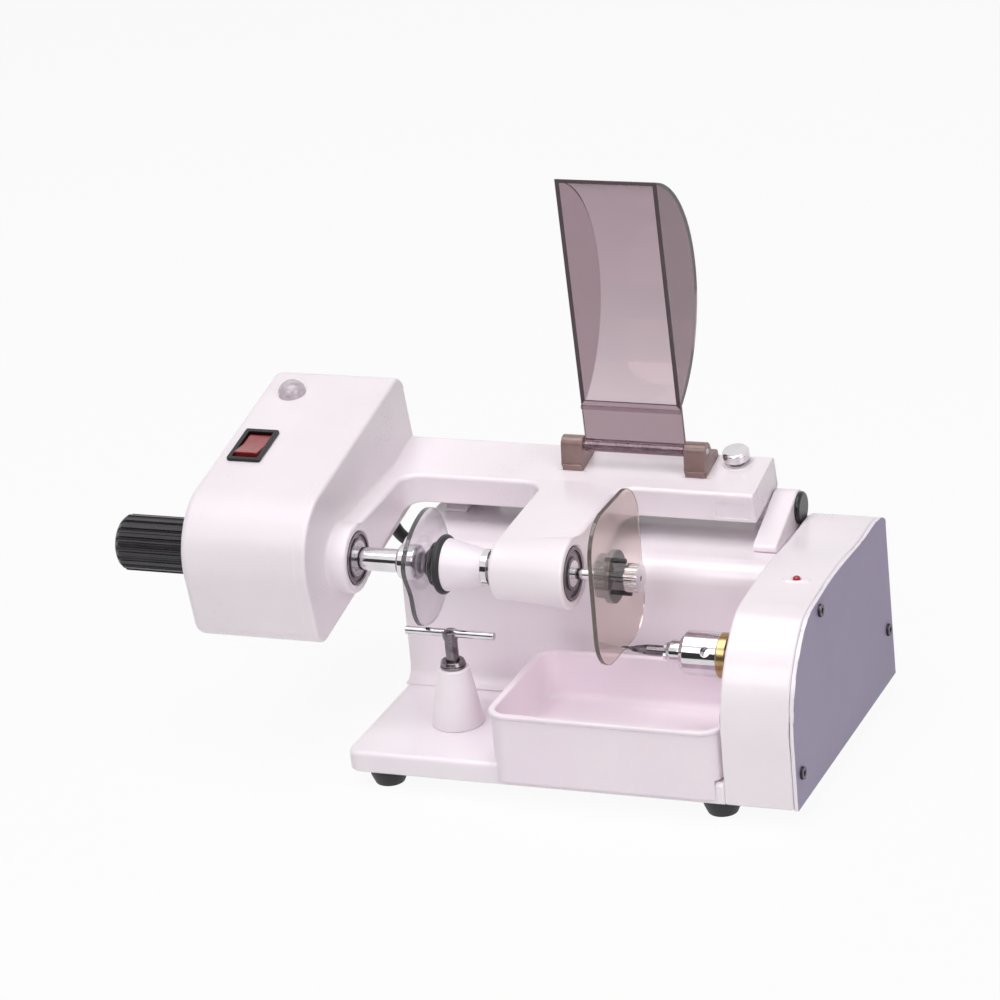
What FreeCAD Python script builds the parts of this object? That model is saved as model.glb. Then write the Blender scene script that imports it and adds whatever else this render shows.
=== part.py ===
import FreeCAD, Part
import math
import os

# Bench edger for spectacle lenses: a swinging carriage turns a lens and a pattern blank over
# a stylus and a cutter. Millimetres, +X to the viewer's right, +Y away, +Z up. The origin is
# the middle of the base plate, on the surface that the feet stand on.

Vector = FreeCAD.Vector
AXIS_X = Vector(1, 0, 0)
AXIS_Y = Vector(0, 1, 0)
AXIS_Z = Vector(0, 0, 1)
ORIGIN = Vector(0, 0, 0)

# Shared fits
running_gap = 0.04
seat_gap = 0.02
body_gap = 0.3
cut_over = 2.0
same_point = 1e-6

# Base plate and feet
base_width = 212.8
base_depth = 147.0
base_thick = 10.0
base_corner = 7.0
base_edge = 2.5
foot_height = 8.0
foot_top_radius = 9.0
foot_low_radius = 6.5
foot_inset = 10.0
foot_left_inset = 16.5
foot_right_inset = 38.2
foot_recess_radius = 4.0
foot_recess_depth = 3.5
foot_screw_radius = 2.0
foot_screw_head = 3.4
foot_screw_head_depth = 2.2
foot_screw_bite = 6.0

# Motor housing at the right end
housing_width = 33.6
housing_top = 90.2
housing_wall = 2.5
housing_profile_share = [
    (0.0, 0.0), (0.0, 0.355), (0.014, 0.556), (0.058, 0.733), (0.125, 0.866),
    (0.195, 0.952), (0.282, 0.981), (0.431, 1.0), (0.605, 0.998), (0.78, 0.986),
    (0.94, 0.981), (0.975, 0.953), (0.984, 0.9), (1.0, 0.0)]
side_plate_thick = 2.0
plate_screw_radius = 1.6
plate_screw_head = 2.9
plate_screw_head_height = 1.4
plate_screw_socket = 1.3
plate_screw_length = 9.0
plate_boss_radius = 3.6
plate_screw_places_share = [(0.302, 0.92), (0.942, 0.31), (0.05, 0.185)]
light_ahead = 12.6
light_from_side = 13.2
light_radius = 1.6
light_proud = 1.0
light_length = 6.0
light_ring_length = 13.0
light_ring_width = 5.4
light_ring_height = 0.5

# Rear cover
rear_depth = 67.5
rear_wall = 2.5
rear_top_radius = 10.0
rear_back_radius = 4.0
rear_flare = 6.0
rear_toe = 0.9

# Hinge of the carriage
hinge_from_back = 15.2
hinge_height = 93.9
hinge_above_cover = 8.4
hinge_shaft_radius = 4.0
bracket_radius = 8.2
bracket_width = 11.2
bracket_foot_spread = 3.0
bracket_foot_height = 2.5
gusset_reach = 35.0
gusset_toe_radius = 2.0
bracket_right_start = 58.8
bracket_left_start = -100.0
end_cap_radius = 7.6
end_cap_thick = 2.2
end_cap_edge = 0.8
bush_radius = 5.4
lug_radius = 7.0
lug_width = 9.3

# Carriage casting, drawn level with its hinge axis at the origin
carriage_tilt = 12.0
carriage_left = -124.0
carriage_right = 58.3
beam_front = 24.8
beam_back = 7.9
beam_top = 21.9
beam_low = 6.5
beam_wall = 4.0
beam_edge = 2.0
spindle_reach = 87.0
spindle_rise = 18.0
arm_radius = 14.0
arm_root_reach = 22.0
left_arm_width = 13.5
middle_arm_left = -42.0
middle_arm_right = -6.0
window_corner = 9.0
left_boss_radius = 16.0
left_boss_end = -109.7
middle_boss_small = 13.5
middle_boss_large = 16.3
pocket_left = (-101.5, -46.0)
pocket_right = (-2.0, 48.0)
window_edge = 2.0
recess_span = (39.5, 56.0)
recess_low = 9.0
recess_high = 17.8
recess_depth = 1.0

# Gearbox at the left end of the carriage
gearbox_width = 57.0
gearbox_front = 123.1
gearbox_back = 8.0
gearbox_top = 56.2
gearbox_low = -8.2
gearbox_front_radius = 30.0
gearbox_chin_radius = 9.0
gearbox_back_radius = 7.0
gearbox_edge = 4.0
gearbox_wall = 3.0
end_plate_thick = 5.0
cable_slot_length = 13.0
cable_slot_width = 8.0

# Bearings of the spindle line
bearing_radius = 12.0
bearing_width = 7.0
sleeve_radius = 8.0
small_bearing_radius = 10.0
small_bearing_width = 6.0

# Drive in the gearbox
gear_module = 1.0
gear_teeth = 40
pinion_teeth = 16
gear_width = 6.0
gear_from_end_plate = 30.0
gear_backlash = 0.25
tooth_tip_share = 0.9
tooth_root_share = 1.15
tooth_crest_share = 0.14
tooth_foot_share = 0.36
pinion_angle = 20.0
pinion_shaft_radius = 2.5
drive_motor_radius = 15.0
drive_motor_length = 25.0
drive_motor_rim = 1.5

# Clamp side of the lens
clamp_shaft_radius = 5.3
clamp_tail = 19.0
hub_radius = 8.0
hub_start = -89.0
hub_end = -80.5
pad_radius = 7.0
pad_end = -76.0
pad_outline_share = [(0.0, 0.7), (0.5, 0.6), (1.0, 1.0)]
clamp_travel = 12.0
knob_radius = 13.0
knob_length = 46.0
knob_flutes = 18
knob_flute_radius = 1.5
knob_collar_length = 8.0
knob_nose_outline_share = [(0.0, 0.765), (0.08, 0.885), (0.23, 1.0)]

# Demo lens and its cup
lens_face = -73.2
lens_thick = 2.2
lens_reach = 29.6
lens_curve_radius = 130.0
lens_block = 10.0
lens_outline_share = [
    (0.0, 0.985), (20.0, 0.997), (40.0, 0.965), (75.0, 0.86), (105.0, 0.83), (140.0, 0.85),
    (165.0, 0.84), (195.0, 0.81), (225.0, 0.84), (255.0, 0.88), (285.0, 0.76), (315.0, 0.86), (340.0, 0.96)]
cup_radius = 10.0
cup_start = -72.6
cup_end = -69.0
cup_back_share = 0.8
cone_flange_radius = 11.6
cone_large = 12.0
cone_small = 8.0
cone_start = -66.0
cone_end = -48.0
ring_section = 1.7
ring_radius = 11.9

# Lens spindle through the middle arm
spindle_radius = 6.0
spindle_collar_radius = 8.25
spindle_collar_start = -48.0
spindle_collar_end = -45.0
thin_radius = 2.5
stud_radius = 1.5
stud_end = 22.0

# Pattern side
hub_plate_radius = 10.0
hub_rim_radius = 12.0
hub_plate_start = 5.0
hub_plate_end = 13.0
hub_rim_width = 3.0
blank_thick = 2.0
blank_width = 61.0
blank_height = 71.0
blank_corner = 18.0
pin_radius = 1.1
pin_offset = 8.7
pin_end = 20.0
screw_neck_radius = 2.45
screw_head_start = 19.5
screw_head_end = 25.5
screw_head_radius = 6.5
screw_knurls = 24
screw_knurl_depth = 0.45
screw_dimple = 1.2

# Cutter line
cutter_from_hinge = 93.5
cutter_height = 61.4
bit_tip = 15.4
bit_tip_radius = 0.8
bit_radius = 2.4
bit_flute_end = 28.0
bit_flutes = 4
bit_twist = 70.0
bit_flute_depth_share = 0.55
chuck_nose_start = 37.4
chuck_nose_radius = 5.4
chuck_tip_share = 0.75
chuck_jaw_share = 0.7
chuck_body_start = 44.6
chuck_body_radius = 10.15
chuck_body_end = 62.5
chuck_chamfer = 2.2
chuck_jaws = 3
chuck_jaw_reach = 1.6
chuck_jaw_width = 2.4
chuck_key_radius = 2.1
chuck_key_depth = 3.5
chuck_key_from_end = 5.0
collar_end = 66.5
collar_radius = 10.25
cutter_spindle_radius = 4.0
cutter_spindle_grip = 10.0
quill_radius = 12.0
quill_flange_radius = 17.0
quill_flange_thick = 3.0
quill_nose = 2.5
quill_length = 19.0
quill_bearing_radius = 8.0
quill_bearing_width = 5.0
quill_bore_radius = 6.0

# Belt drive of the cutter
motor_from_back = 40.0
motor_height = 46.0
motor_radius = 21.0
motor_length = 52.0
motor_tail_radius = 6.0
motor_tail_length = 3.0
motor_shaft_radius = 2.5
spindle_pulley_radius = 7.2
motor_pulley_radius = 9.0
pulley_width = 6.5
pulley_flange = 1.6
pulley_flange_thick = 0.8
pulley_from_plate = 3.6
belt_thick = 1.2
belt_side_gap = 0.2

# Stylus under the demo lens
stylus_from_hinge = 93.5
stylus_x = -66.4
post_low_radius = 11.75
post_top_radius = 7.2
post_below_hinge = 48.4
post_flange_height = 1.5
nut_radius = 5.9
nut_height = 3.5
nut_ring_depth = 0.8
stem_radius = 3.0
stem_depth = 16.0
stem_travel = 8.0
stem_head_radius = 3.6
bar_radius = 1.85
bar_length = 42.8

# Drip tray
tray_left = -35.5
tray_side_gap = 0.8
tray_front_gap = 0.4
tray_wall = 2.2
tray_rim = 43.5
tray_front_low = 10.5
tray_corner = 9.0
tray_floor_radius = 4.0
tray_back_gap = 3.5
tray_lip = 1.0
tray_lip_height = 2.0

# Splash guard and its hinge
guard_left = -26.0
guard_right = 22.0
guard_pin_reach = 6.3
guard_pin_rise = 32.1
guard_lean = 7.0
guard_wall = 2.0
guard_flap = 20.0
guard_length = 111.0
guard_bulge = 38.0
guard_barrel_radius = 3.0
guard_flap_thick = 2.4
guard_pin_radius = 1.5
guard_rib_height = 2.0
bracket_gap = 0.4
guard_bracket_width = 10.4
bracket_plate_front = 13.4
bracket_plate_back = 6.8
bracket_plate_thick = 3.0
bracket_ear_radius = 4.2
bracket_root_radius = 6.3
bracket_screw_y = 3.4
bracket_screw_radius = 1.5
bracket_screw_head = 2.6
bracket_screw_head_height = 1.6
bracket_screw_depth = 3.0

# Controls on the carriage
button_x = 43.3
button_reach = -0.8
button_radius = 6.15
button_height = 4.5
button_stem_radius = 3.0
button_travel = 1.8
button_base_radius = 6.6
button_base_height = 0.6
lamp_x = -164.8
lamp_reach = 14.0
lamp_radius = 6.5
lamp_dome = 6.2
lamp_dome_share = [(0.0, 1.0), (0.2, 1.0), (0.45, 0.93), (0.68, 0.79), (0.86, 0.58), (0.96, 0.32)]
lamp_shank_radius = 4.5
lamp_shank_length = 9.0
switch_x = -165.6
switch_reach = 59.4
switch_width = 16.6
switch_length = 25.0
switch_bezel_height = 1.6
switch_bezel_wall = 2.2
switch_body_depth = 14.0
switch_lip = 1.6
switch_corner = 1.2
rocker_gap = 0.4
rocker_tilt = 8.0
rocker_pivot_drop = 2.0
rocker_proud = 3.6
rocker_depth = 6.0
rocker_low_share = 0.7
rocker_top_share = 0.97

# Wiring and supply in the rear cover
transformer_start = -38.0
transformer_length = 48.0
transformer_depth = 38.0
transformer_height = 40.0
transformer_coil_length = 26.0
transformer_coil_swell = 6.0
inlet_x = -70.0
inlet_width = 27.0
inlet_height = 20.0
inlet_middle_height = 42.0
inlet_depth = 16.0
inlet_wall = 2.0
inlet_rim = 2.0
inlet_rim_thick = 2.0
inlet_pin_width = 4.0
inlet_pin_thick = 2.0
inlet_pin_pitch = 7.0
inlet_pin_length = 12.0
inlet_pin_rise = 2.0
cable_radius = 3.0
cable_below_hinge = 30.9
cable_out = 26.0
cable_bend = 14.0
cable_inside = 8.0
cable_rise = 37.0
cable_shift = -0.4
gland_radius = 6.5
gland_length = 7.0
gland_tip_radius = 4.2

# Places worked out from the sizes
front = -base_depth / 2
back = base_depth / 2
left_end = -base_width / 2
right_end = base_width / 2
plate_top = foot_height + base_thick
housing_left = right_end - housing_width
side_plate_face = right_end - side_plate_thick
hinge_y = back - hinge_from_back
rear_face = back - rear_depth
rear_top = hinge_height - hinge_above_cover
spindle_y = -spindle_reach
tilt_radians = math.radians(carriage_tilt)
lens_y = hinge_y - spindle_reach * math.cos(tilt_radians) - spindle_rise * math.sin(tilt_radians)
lens_z = hinge_height - spindle_reach * math.sin(tilt_radians) + spindle_rise * math.cos(tilt_radians)
cutter_y = hinge_y - cutter_from_hinge
motor_y = back - motor_from_back
stylus_y = hinge_y - stylus_from_hinge
bar_distance = lens_reach + body_gap + bar_radius
bar_z = lens_z - math.sqrt(bar_distance ** 2 - (stylus_y - lens_y) ** 2)
post_top = hinge_height - post_below_hinge
nut_top = post_top + nut_height
cable_height = hinge_height - cable_below_hinge
gearbox_left = carriage_left - gearbox_width
knob_end = gearbox_left - body_gap
blank_start = hub_plate_end
blank_end = blank_start + blank_thick
tray_right = housing_left - tray_side_gap
pulley_end = side_plate_face - pulley_from_plate
pulley_start = pulley_end - pulley_width


def line_or_nothing(start, end):
    return [] if start.isEqual(end, same_point) else [Part.makeLine(start, end)]


def rounded_wire(corners, place):
    """Closed wire through (u, v, corner radius) points, with tangent arcs at the corners."""
    ends = []
    for index, (u, v, radius) in enumerate(corners):
        corner = Vector(u, v, 0)
        before = Vector(*corners[index - 1][:2], 0) - corner
        after = Vector(*corners[(index + 1) % len(corners)][:2], 0) - corner
        before.normalize()
        after.normalize()
        half = before.getAngle(after) / 2
        reach = radius / math.tan(half)
        inward = (before + after).normalize() if radius else Vector(0, 0, 0)
        middle = corner + inward * (radius / math.sin(half) - radius)
        ends.append((place(corner + before * reach), place(middle), place(corner + after * reach), radius))
    edges = []
    for index, (start, middle, end, radius) in enumerate(ends):
        if radius:
            edges.append(Part.Arc(start, middle, end).toShape())
        edges += line_or_nothing(end, ends[(index + 1) % len(ends)][0])
    return Part.Wire(edges)


def prism_x(corners, x_start, x_end):
    """Solid along X from an outline of (y, z, corner radius)."""
    wire = rounded_wire(corners, lambda point: Vector(x_start, point.x, point.y))
    return Part.Face(wire).extrude(Vector(x_end - x_start, 0, 0))


def prism_z(corners, z_start, z_end):
    """Solid along Z from an outline of (x, y, corner radius)."""
    wire = rounded_wire(corners, lambda point: Vector(point.x, point.y, z_start))
    return Part.Face(wire).extrude(Vector(0, 0, z_end - z_start))


def block(x_start, x_end, y_start, y_end, z_start, z_end):
    return Part.makeBox(x_end - x_start, y_end - y_start, z_end - z_start, Vector(x_start, y_start, z_start))


def rectangle(u_start, u_end, v_start, v_end, radius=0.0):
    return [(u_start, v_start, radius), (u_end, v_start, radius), (u_end, v_end, radius),
            (u_start, v_end, radius)]


def rod_x(radius, x_start, x_end, y, z):
    return Part.makeCylinder(radius, x_end - x_start, Vector(x_start, y, z), AXIS_X)


def rod_z(radius, x, y, z_start, z_end):
    return Part.makeCylinder(radius, z_end - z_start, Vector(x, y, z_start), AXIS_Z)


def ring_x(outer, inner, x_start, x_end, y, z):
    return rod_x(outer, x_start, x_end, y, z).cut(rod_x(inner, x_start, x_end, y, z))


def turned_x(stations, y, z):
    """Turned piece about an X axis at (y, z), from (x, radius) stations."""
    points = [Vector(stations[0][0], y, z)]
    points += [Vector(x, y, z + radius) for x, radius in stations]
    points += [Vector(stations[-1][0], y, z), points[0]]
    edges = [edge for start, end in zip(points, points[1:]) for edge in line_or_nothing(start, end)]
    return Part.Face(Part.Wire(edges)).revolve(Vector(0, y, z), AXIS_X, 360)


def turned_z(stations, x, y):
    """Turned piece about a Z axis at (x, y), from (z, radius) stations."""
    points = [Vector(x, y, stations[0][0])]
    points += [Vector(x + radius, y, z) for z, radius in stations]
    points += [Vector(x, y, stations[-1][0]), points[0]]
    edges = [edge for start, end in zip(points, points[1:]) for edge in line_or_nothing(start, end)]
    return Part.Face(Part.Wire(edges)).revolve(Vector(x, y, 0), AXIS_Z, 360)


def belt_wire(first, first_radius, second, second_radius, place):
    """Two circles joined by their outer tangents."""
    across = second - first
    lean = math.acos((first_radius - second_radius) / across.Length)
    heading = math.atan2(across.y, across.x)

    def on(centre, radius, angle):
        return place(centre + Vector(math.cos(angle), math.sin(angle), 0) * radius)

    high, low = heading + lean, heading - lean
    return Part.Wire([
        Part.makeLine(on(first, first_radius, low), on(second, second_radius, low)),
        Part.Arc(on(second, second_radius, low), on(second, second_radius, heading),
                 on(second, second_radius, high)).toShape(),
        Part.makeLine(on(second, second_radius, high), on(first, first_radius, high)),
        Part.Arc(on(first, first_radius, high), on(first, first_radius, heading + math.pi),
                 on(first, first_radius, low)).toShape()])


def belt_prism(first, first_radius, second, second_radius, x_start, x_end):
    wire = belt_wire(first, first_radius, second, second_radius,
                     lambda point: Vector(x_start, point.x, point.y))
    return Part.Face(wire).extrude(Vector(x_end - x_start, 0, 0))


def edges_at(shape, test):
    return [edge for edge in shape.Edges if test(edge.BoundBox)]


def seat(shape):
    """Put a piece drawn on the level carriage into its working tilt on the hinge."""
    placed = shape.copy()
    placed.rotate(ORIGIN, AXIS_X, carriage_tilt)
    placed.translate(Vector(0, hinge_y, hinge_height))
    return placed


def foot_places():
    return [(x, y) for x in (left_end + foot_left_inset, right_end - foot_right_inset)
            for y in (front + foot_inset, back - foot_inset)]


def base_plate():
    inner = housing_wall + seat_gap
    main = prism_z([(left_end, front, base_corner), (housing_left, front, 0),
                    (housing_left, back, 0), (left_end, back, base_corner)], foot_height, plate_top)
    rim = edges_at(main, lambda box: box.ZMin > plate_top - seat_gap and
                   (box.XMin < left_end + base_corner or box.YMax < front + seat_gap))
    main = main.makeFillet(base_edge, rim)
    tongue = block(housing_left, side_plate_face - seat_gap, front + inner, back - inner,
                   foot_height, plate_top)
    plate = main.fuse(tongue)
    for x, y in foot_places():
        plate = plate.cut(rod_z(foot_screw_radius + seat_gap, x, y, foot_height, plate_top - base_edge))
    return plate.removeSplitter()


def rubber_feet():
    feet = []
    for x, y in foot_places():
        foot = turned_z([(0, foot_low_radius), (foot_height, foot_top_radius)], x, y)
        foot = foot.cut(rod_z(foot_recess_radius, x, y, 0, foot_recess_depth))
        feet.append(foot.cut(rod_z(foot_screw_radius + seat_gap, x, y, 0, foot_height)))
    return feet


def foot_screws():
    return [turned_z([(foot_recess_depth - foot_screw_head_depth, foot_screw_head),
                      (foot_recess_depth, foot_screw_head), (foot_recess_depth, foot_screw_radius),
                      (foot_height + foot_screw_bite, foot_screw_radius)], x, y)
            for x, y in foot_places()]


def housing_outline(inset):
    """Side outline of the motor housing, drawn in from its edge by the inset."""
    low = foot_height
    depth, height = base_depth, housing_top - low
    points = []
    for along, up in housing_profile_share:
        y = front + inset + along * (depth - 2 * inset)
        points.append(Vector(0, y, low + up * (height - inset)))
    return points


def housing_solid(inset, x_start, x_end):
    points = housing_outline(inset)
    lower, upper = points[1], points[-2]
    curve = Part.BSplineCurve()
    curve.interpolate(points[1:-1])
    edges = [Part.makeLine(points[0], lower), curve.toShape(),
             Part.makeLine(upper, points[-1]), Part.makeLine(points[-1], points[0])]
    face = Part.Face(Part.Wire(edges))
    face.translate(Vector(x_start, 0, 0))
    return face.extrude(Vector(x_end - x_start, 0, 0))


def plate_screw_places():
    height = housing_top - foot_height
    return [(front + along * base_depth, foot_height + up * height)
            for along, up in plate_screw_places_share]


def light_place():
    return side_plate_face - light_from_side, -light_ahead


def motor_housing():
    shell = housing_solid(0, housing_left, side_plate_face)
    hollow = housing_solid(housing_wall, housing_left + housing_wall, side_plate_face + cut_over)
    shell = shell.cut(hollow)
    tongue = block(housing_left - cut_over, side_plate_face + cut_over, front + housing_wall,
                   back - housing_wall, foot_height - cut_over, plate_top + seat_gap)
    shell = shell.cut(tongue)
    for y, z in plate_screw_places():
        boss = rod_x(plate_boss_radius, housing_left + housing_wall / 2, side_plate_face, y, z)
        shell = shell.fuse(boss.common(housing_solid(0, housing_left, side_plate_face)))
        shell = shell.cut(rod_x(plate_screw_radius + seat_gap, side_plate_face - plate_screw_length,
                                side_plate_face, y, z))
    shell = shell.cut(rod_x(quill_radius + seat_gap, housing_left, housing_left + housing_wall,
                            cutter_y, cutter_height))
    shell = shell.cut(rod_x(motor_tail_radius + seat_gap, housing_left, housing_left + housing_wall,
                            motor_y, motor_height))
    x, y = light_place()
    ring = prism_z(rectangle(x - light_ring_length / 2, x + light_ring_length / 2,
                             y - light_ring_width / 2, y + light_ring_width / 2,
                             light_ring_width / 2 - seat_gap),
                   housing_top - light_ring_height, housing_top + light_ring_height)
    shell = shell.fuse(ring)
    shell = shell.cut(rod_z(light_radius + seat_gap, x, y, housing_top - light_length,
                            housing_top + cut_over))
    return shell.removeSplitter()


def side_plate():
    plate = housing_solid(0, side_plate_face, right_end)
    for y, z in plate_screw_places():
        plate = plate.cut(rod_x(plate_screw_radius + seat_gap, side_plate_face, right_end, y, z))
    return plate


def side_plate_screws():
    screws = []
    for y, z in plate_screw_places():
        screw = turned_x([(side_plate_face - plate_screw_length + cut_over, plate_screw_radius),
                          (right_end, plate_screw_radius), (right_end, plate_screw_head),
                          (right_end + plate_screw_head_height, plate_screw_head)], y, z)
        socket = rod_x(plate_screw_socket, right_end, right_end + plate_screw_head_height, y, z)
        screws.append(screw.cut(socket))
    return screws


def status_light():
    x, y = light_place()
    dome_top = housing_top + light_ring_height + light_proud
    return turned_z([(housing_top - light_length + cut_over, light_radius),
                     (dome_top - light_proud / 2, light_radius), (dome_top, light_radius / 2)], x, y)


def rear_cover():
    face_y, bottom, top = rear_face, plate_top, rear_top
    outer = prism_x([(face_y, top, rear_top_radius), (back, top, rear_back_radius), (back, bottom, 0),
                     (face_y - rear_flare - rear_toe, bottom, 0),
                     (face_y - rear_flare - rear_toe, bottom + rear_toe, 0),
                     (face_y, bottom + rear_toe, rear_flare)], left_end, housing_left)
    inner_radius = rear_top_radius - rear_wall
    hollow = prism_x([(face_y + rear_wall, top - rear_wall, inner_radius),
                      (back - rear_wall, top - rear_wall, rear_back_radius - rear_wall),
                      (back - rear_wall, bottom, 0), (face_y + rear_wall, bottom, 0)],
                     left_end + rear_wall, housing_left)
    cover = outer.cut(hollow)
    cover = cover.cut(block(inlet_x - inlet_width / 2 - seat_gap, inlet_x + inlet_width / 2 + seat_gap,
                            back - rear_wall, back + cut_over,
                            inlet_middle_height - inlet_height / 2 - seat_gap,
                            inlet_middle_height + inlet_height / 2 + seat_gap))
    cover = cover.cut(rod_x(gland_tip_radius + seat_gap, left_end, left_end + rear_wall,
                            cable_y(), cable_height))
    return cover.removeSplitter()


def hinge_bracket(x_start, with_gusset):
    """Pillar that stands on the rear cover and holds one end of the hinge shaft."""
    x_end = x_start + bracket_width
    spread = bracket_radius + bracket_foot_spread
    foot = prism_x([(hinge_y - spread, rear_top, 0), (hinge_y + spread, rear_top, 0),
                    (hinge_y + spread, rear_top + bracket_foot_height / 2, 0),
                    (hinge_y + bracket_radius, rear_top + bracket_foot_height, 0),
                    (hinge_y - bracket_radius, rear_top + bracket_foot_height, 0),
                    (hinge_y - spread, rear_top + bracket_foot_height / 2, 0)], x_start, x_end)
    stem = block(x_start, x_end, hinge_y - bracket_radius, hinge_y + bracket_radius, rear_top,
                 hinge_height)
    head = rod_x(bracket_radius, x_start, x_end, hinge_y, hinge_height)
    pillar = foot.fuse([stem, head])
    if with_gusset:
        toe = Vector(hinge_y - gusset_reach + gusset_toe_radius, rear_top + gusset_toe_radius, 0)
        web = belt_prism(toe, gusset_toe_radius, Vector(hinge_y, hinge_height, 0), bracket_radius,
                         x_start, x_end)
        heel = block(x_start, x_end, toe.x, hinge_y, rear_top, rear_top + gusset_toe_radius)
        pillar = pillar.fuse([web, heel])
    pillar = pillar.cut(rod_x(hinge_shaft_radius + seat_gap, x_start, x_end, hinge_y, hinge_height))
    return pillar.removeSplitter()


def hinge_shaft():
    return rod_x(hinge_shaft_radius, bracket_left_start, bracket_right_start + bracket_width,
                 hinge_y, hinge_height)


def hinge_end_caps():
    right_start = bracket_right_start + bracket_width
    right_end_face = right_start + end_cap_thick
    right = turned_x([(right_start, end_cap_radius), (right_end_face - end_cap_edge, end_cap_radius),
                      (right_end_face, end_cap_radius - end_cap_edge)], hinge_y, hinge_height)
    left_start = bracket_left_start - end_cap_thick
    left = turned_x([(left_start, end_cap_radius - end_cap_edge), (left_start + end_cap_edge, end_cap_radius),
                     (bracket_left_start, end_cap_radius)], hinge_y, hinge_height)
    return [left, right]


def boss_arm(x_start, x_end):
    root_radius = (beam_top - beam_low) / 2
    return belt_prism(Vector(spindle_y, spindle_rise, 0), arm_radius,
                      Vector(-arm_root_reach, beam_low + root_radius, 0), root_radius, x_start, x_end)


def gearbox_outline(inset=0.0):
    return [(-gearbox_front + inset, gearbox_low + inset, gearbox_chin_radius - inset),
            (gearbox_back - inset, gearbox_low + inset, gearbox_back_radius - inset),
            (gearbox_back - inset, gearbox_top - inset, gearbox_back_radius - inset),
            (-gearbox_front + inset, gearbox_top - inset, gearbox_front_radius - inset)]


def hinge_lug(x_start, x_end):
    lug = block(x_start, x_end, -lug_radius, lug_radius, 0, beam_top - beam_wall)
    return lug.fuse(rod_x(lug_radius, x_start, x_end, 0, 0))


def lug_spans():
    left_start = bracket_left_start + bracket_width + body_gap * 2
    return [(left_start, left_start + lug_width), (carriage_right - lug_width, carriage_right)]


def window_rim(shape, x_start, x_end):
    """Edges round the top and the underside of one window between the arms."""
    def in_rim(box):
        upright = box.XLength < seat_gap and box.YLength < seat_gap
        inside = box.XMin > x_start - seat_gap and box.XMax < x_end + seat_gap and box.YMin > spindle_y
        at_beam = -beam_front - window_corner - seat_gap < box.YMax < -beam_front + seat_gap
        return inside and at_beam and not upright
    return edges_at(shape, in_rim)


def carriage_frame():
    window_start = carriage_left + left_arm_width
    far_front = spindle_y - arm_radius - cut_over
    plan = [(carriage_left, -beam_front, 0), (carriage_left, far_front, 0), (window_start, far_front, 0),
            (window_start, -beam_front, window_corner), (middle_arm_left, -beam_front, window_corner),
            (middle_arm_left, far_front, 0), (middle_arm_right, far_front, 0),
            (middle_arm_right, -beam_front, window_corner), (carriage_right, -beam_front, 0),
            (carriage_right, 0, 0), (carriage_left, 0, 0)]
    arms = prism_z(plan, -gearbox_front, gearbox_front).common(boss_arm(carriage_left, carriage_right))
    beam = prism_x([(-beam_front, beam_low, 0), (beam_back, beam_low, 0),
                    (beam_back, beam_top, beam_edge), (-beam_front, beam_top, beam_edge)],
                   carriage_left, carriage_right)
    left_boss = rod_x(left_boss_radius, carriage_left, left_boss_end, spindle_y, spindle_rise)
    middle_boss = turned_x([(middle_arm_left, middle_boss_small), (middle_arm_right, middle_boss_large)],
                           spindle_y, spindle_rise)
    end_plate = prism_x(gearbox_outline(), carriage_left, carriage_left + end_plate_thick)
    frame = beam.fuse([arms, left_boss, middle_boss, end_plate]).removeSplitter()
    for x_start, x_end in ((window_start, middle_arm_left), (middle_arm_right, carriage_right)):
        frame = frame.makeFillet(window_edge, window_rim(frame, x_start, x_end))
    for x_start, x_end in (pocket_left, pocket_right):
        frame = frame.cut(block(x_start, x_end, -beam_front + beam_wall, beam_back - beam_wall,
                                beam_low - cut_over, beam_top - beam_wall))
    clear_radius = bracket_radius + 3 * body_gap
    frame = frame.cut(rod_x(clear_radius, bracket_left_start - end_cap_thick - 2 * body_gap,
                            bracket_left_start + bracket_width + 2 * body_gap, 0, 0))
    frame = frame.fuse([hinge_lug(*span) for span in lug_spans()])
    frame = frame.cut(block(*recess_span, -beam_front - cut_over, -beam_front + recess_depth,
                            recess_low, recess_high))
    for x_start, x_end in lug_spans():
        frame = frame.cut(rod_x(bush_radius + seat_gap, x_start - cut_over, x_end + cut_over, 0, 0))
    for radius, x_start, x_end in (
            (sleeve_radius + body_gap, carriage_left - cut_over, left_boss_end),
            (bearing_radius + seat_gap, left_boss_end - bearing_width, left_boss_end + cut_over),
            (spindle_radius + 2 * body_gap, middle_arm_left - cut_over, middle_arm_right),
            (small_bearing_radius + seat_gap, middle_arm_left - cut_over,
             middle_arm_left + small_bearing_width),
            (bearing_radius + seat_gap, middle_arm_right - bearing_width, middle_arm_right + cut_over)):
        frame = frame.cut(rod_x(radius, x_start, x_end, spindle_y, spindle_rise))
    frame = frame.fuse(rod_z(button_base_radius, button_x, -button_reach, beam_top - beam_wall,
                             beam_top + button_base_height))
    frame = frame.cut(rod_z(button_stem_radius + running_gap, button_x, -button_reach,
                            beam_top - beam_wall - cut_over, beam_top + cut_over))
    for x in bracket_screw_columns():
        frame = frame.cut(rod_z(bracket_screw_radius + seat_gap, x, bracket_screw_y,
                                beam_top - bracket_screw_depth, beam_top + cut_over))
    return seat(frame.removeSplitter())


def hinge_bushes():
    return [seat(ring_x(bush_radius, hinge_shaft_radius + running_gap, x_start, x_end, 0, 0))
            for x_start, x_end in lug_spans()]


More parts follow.
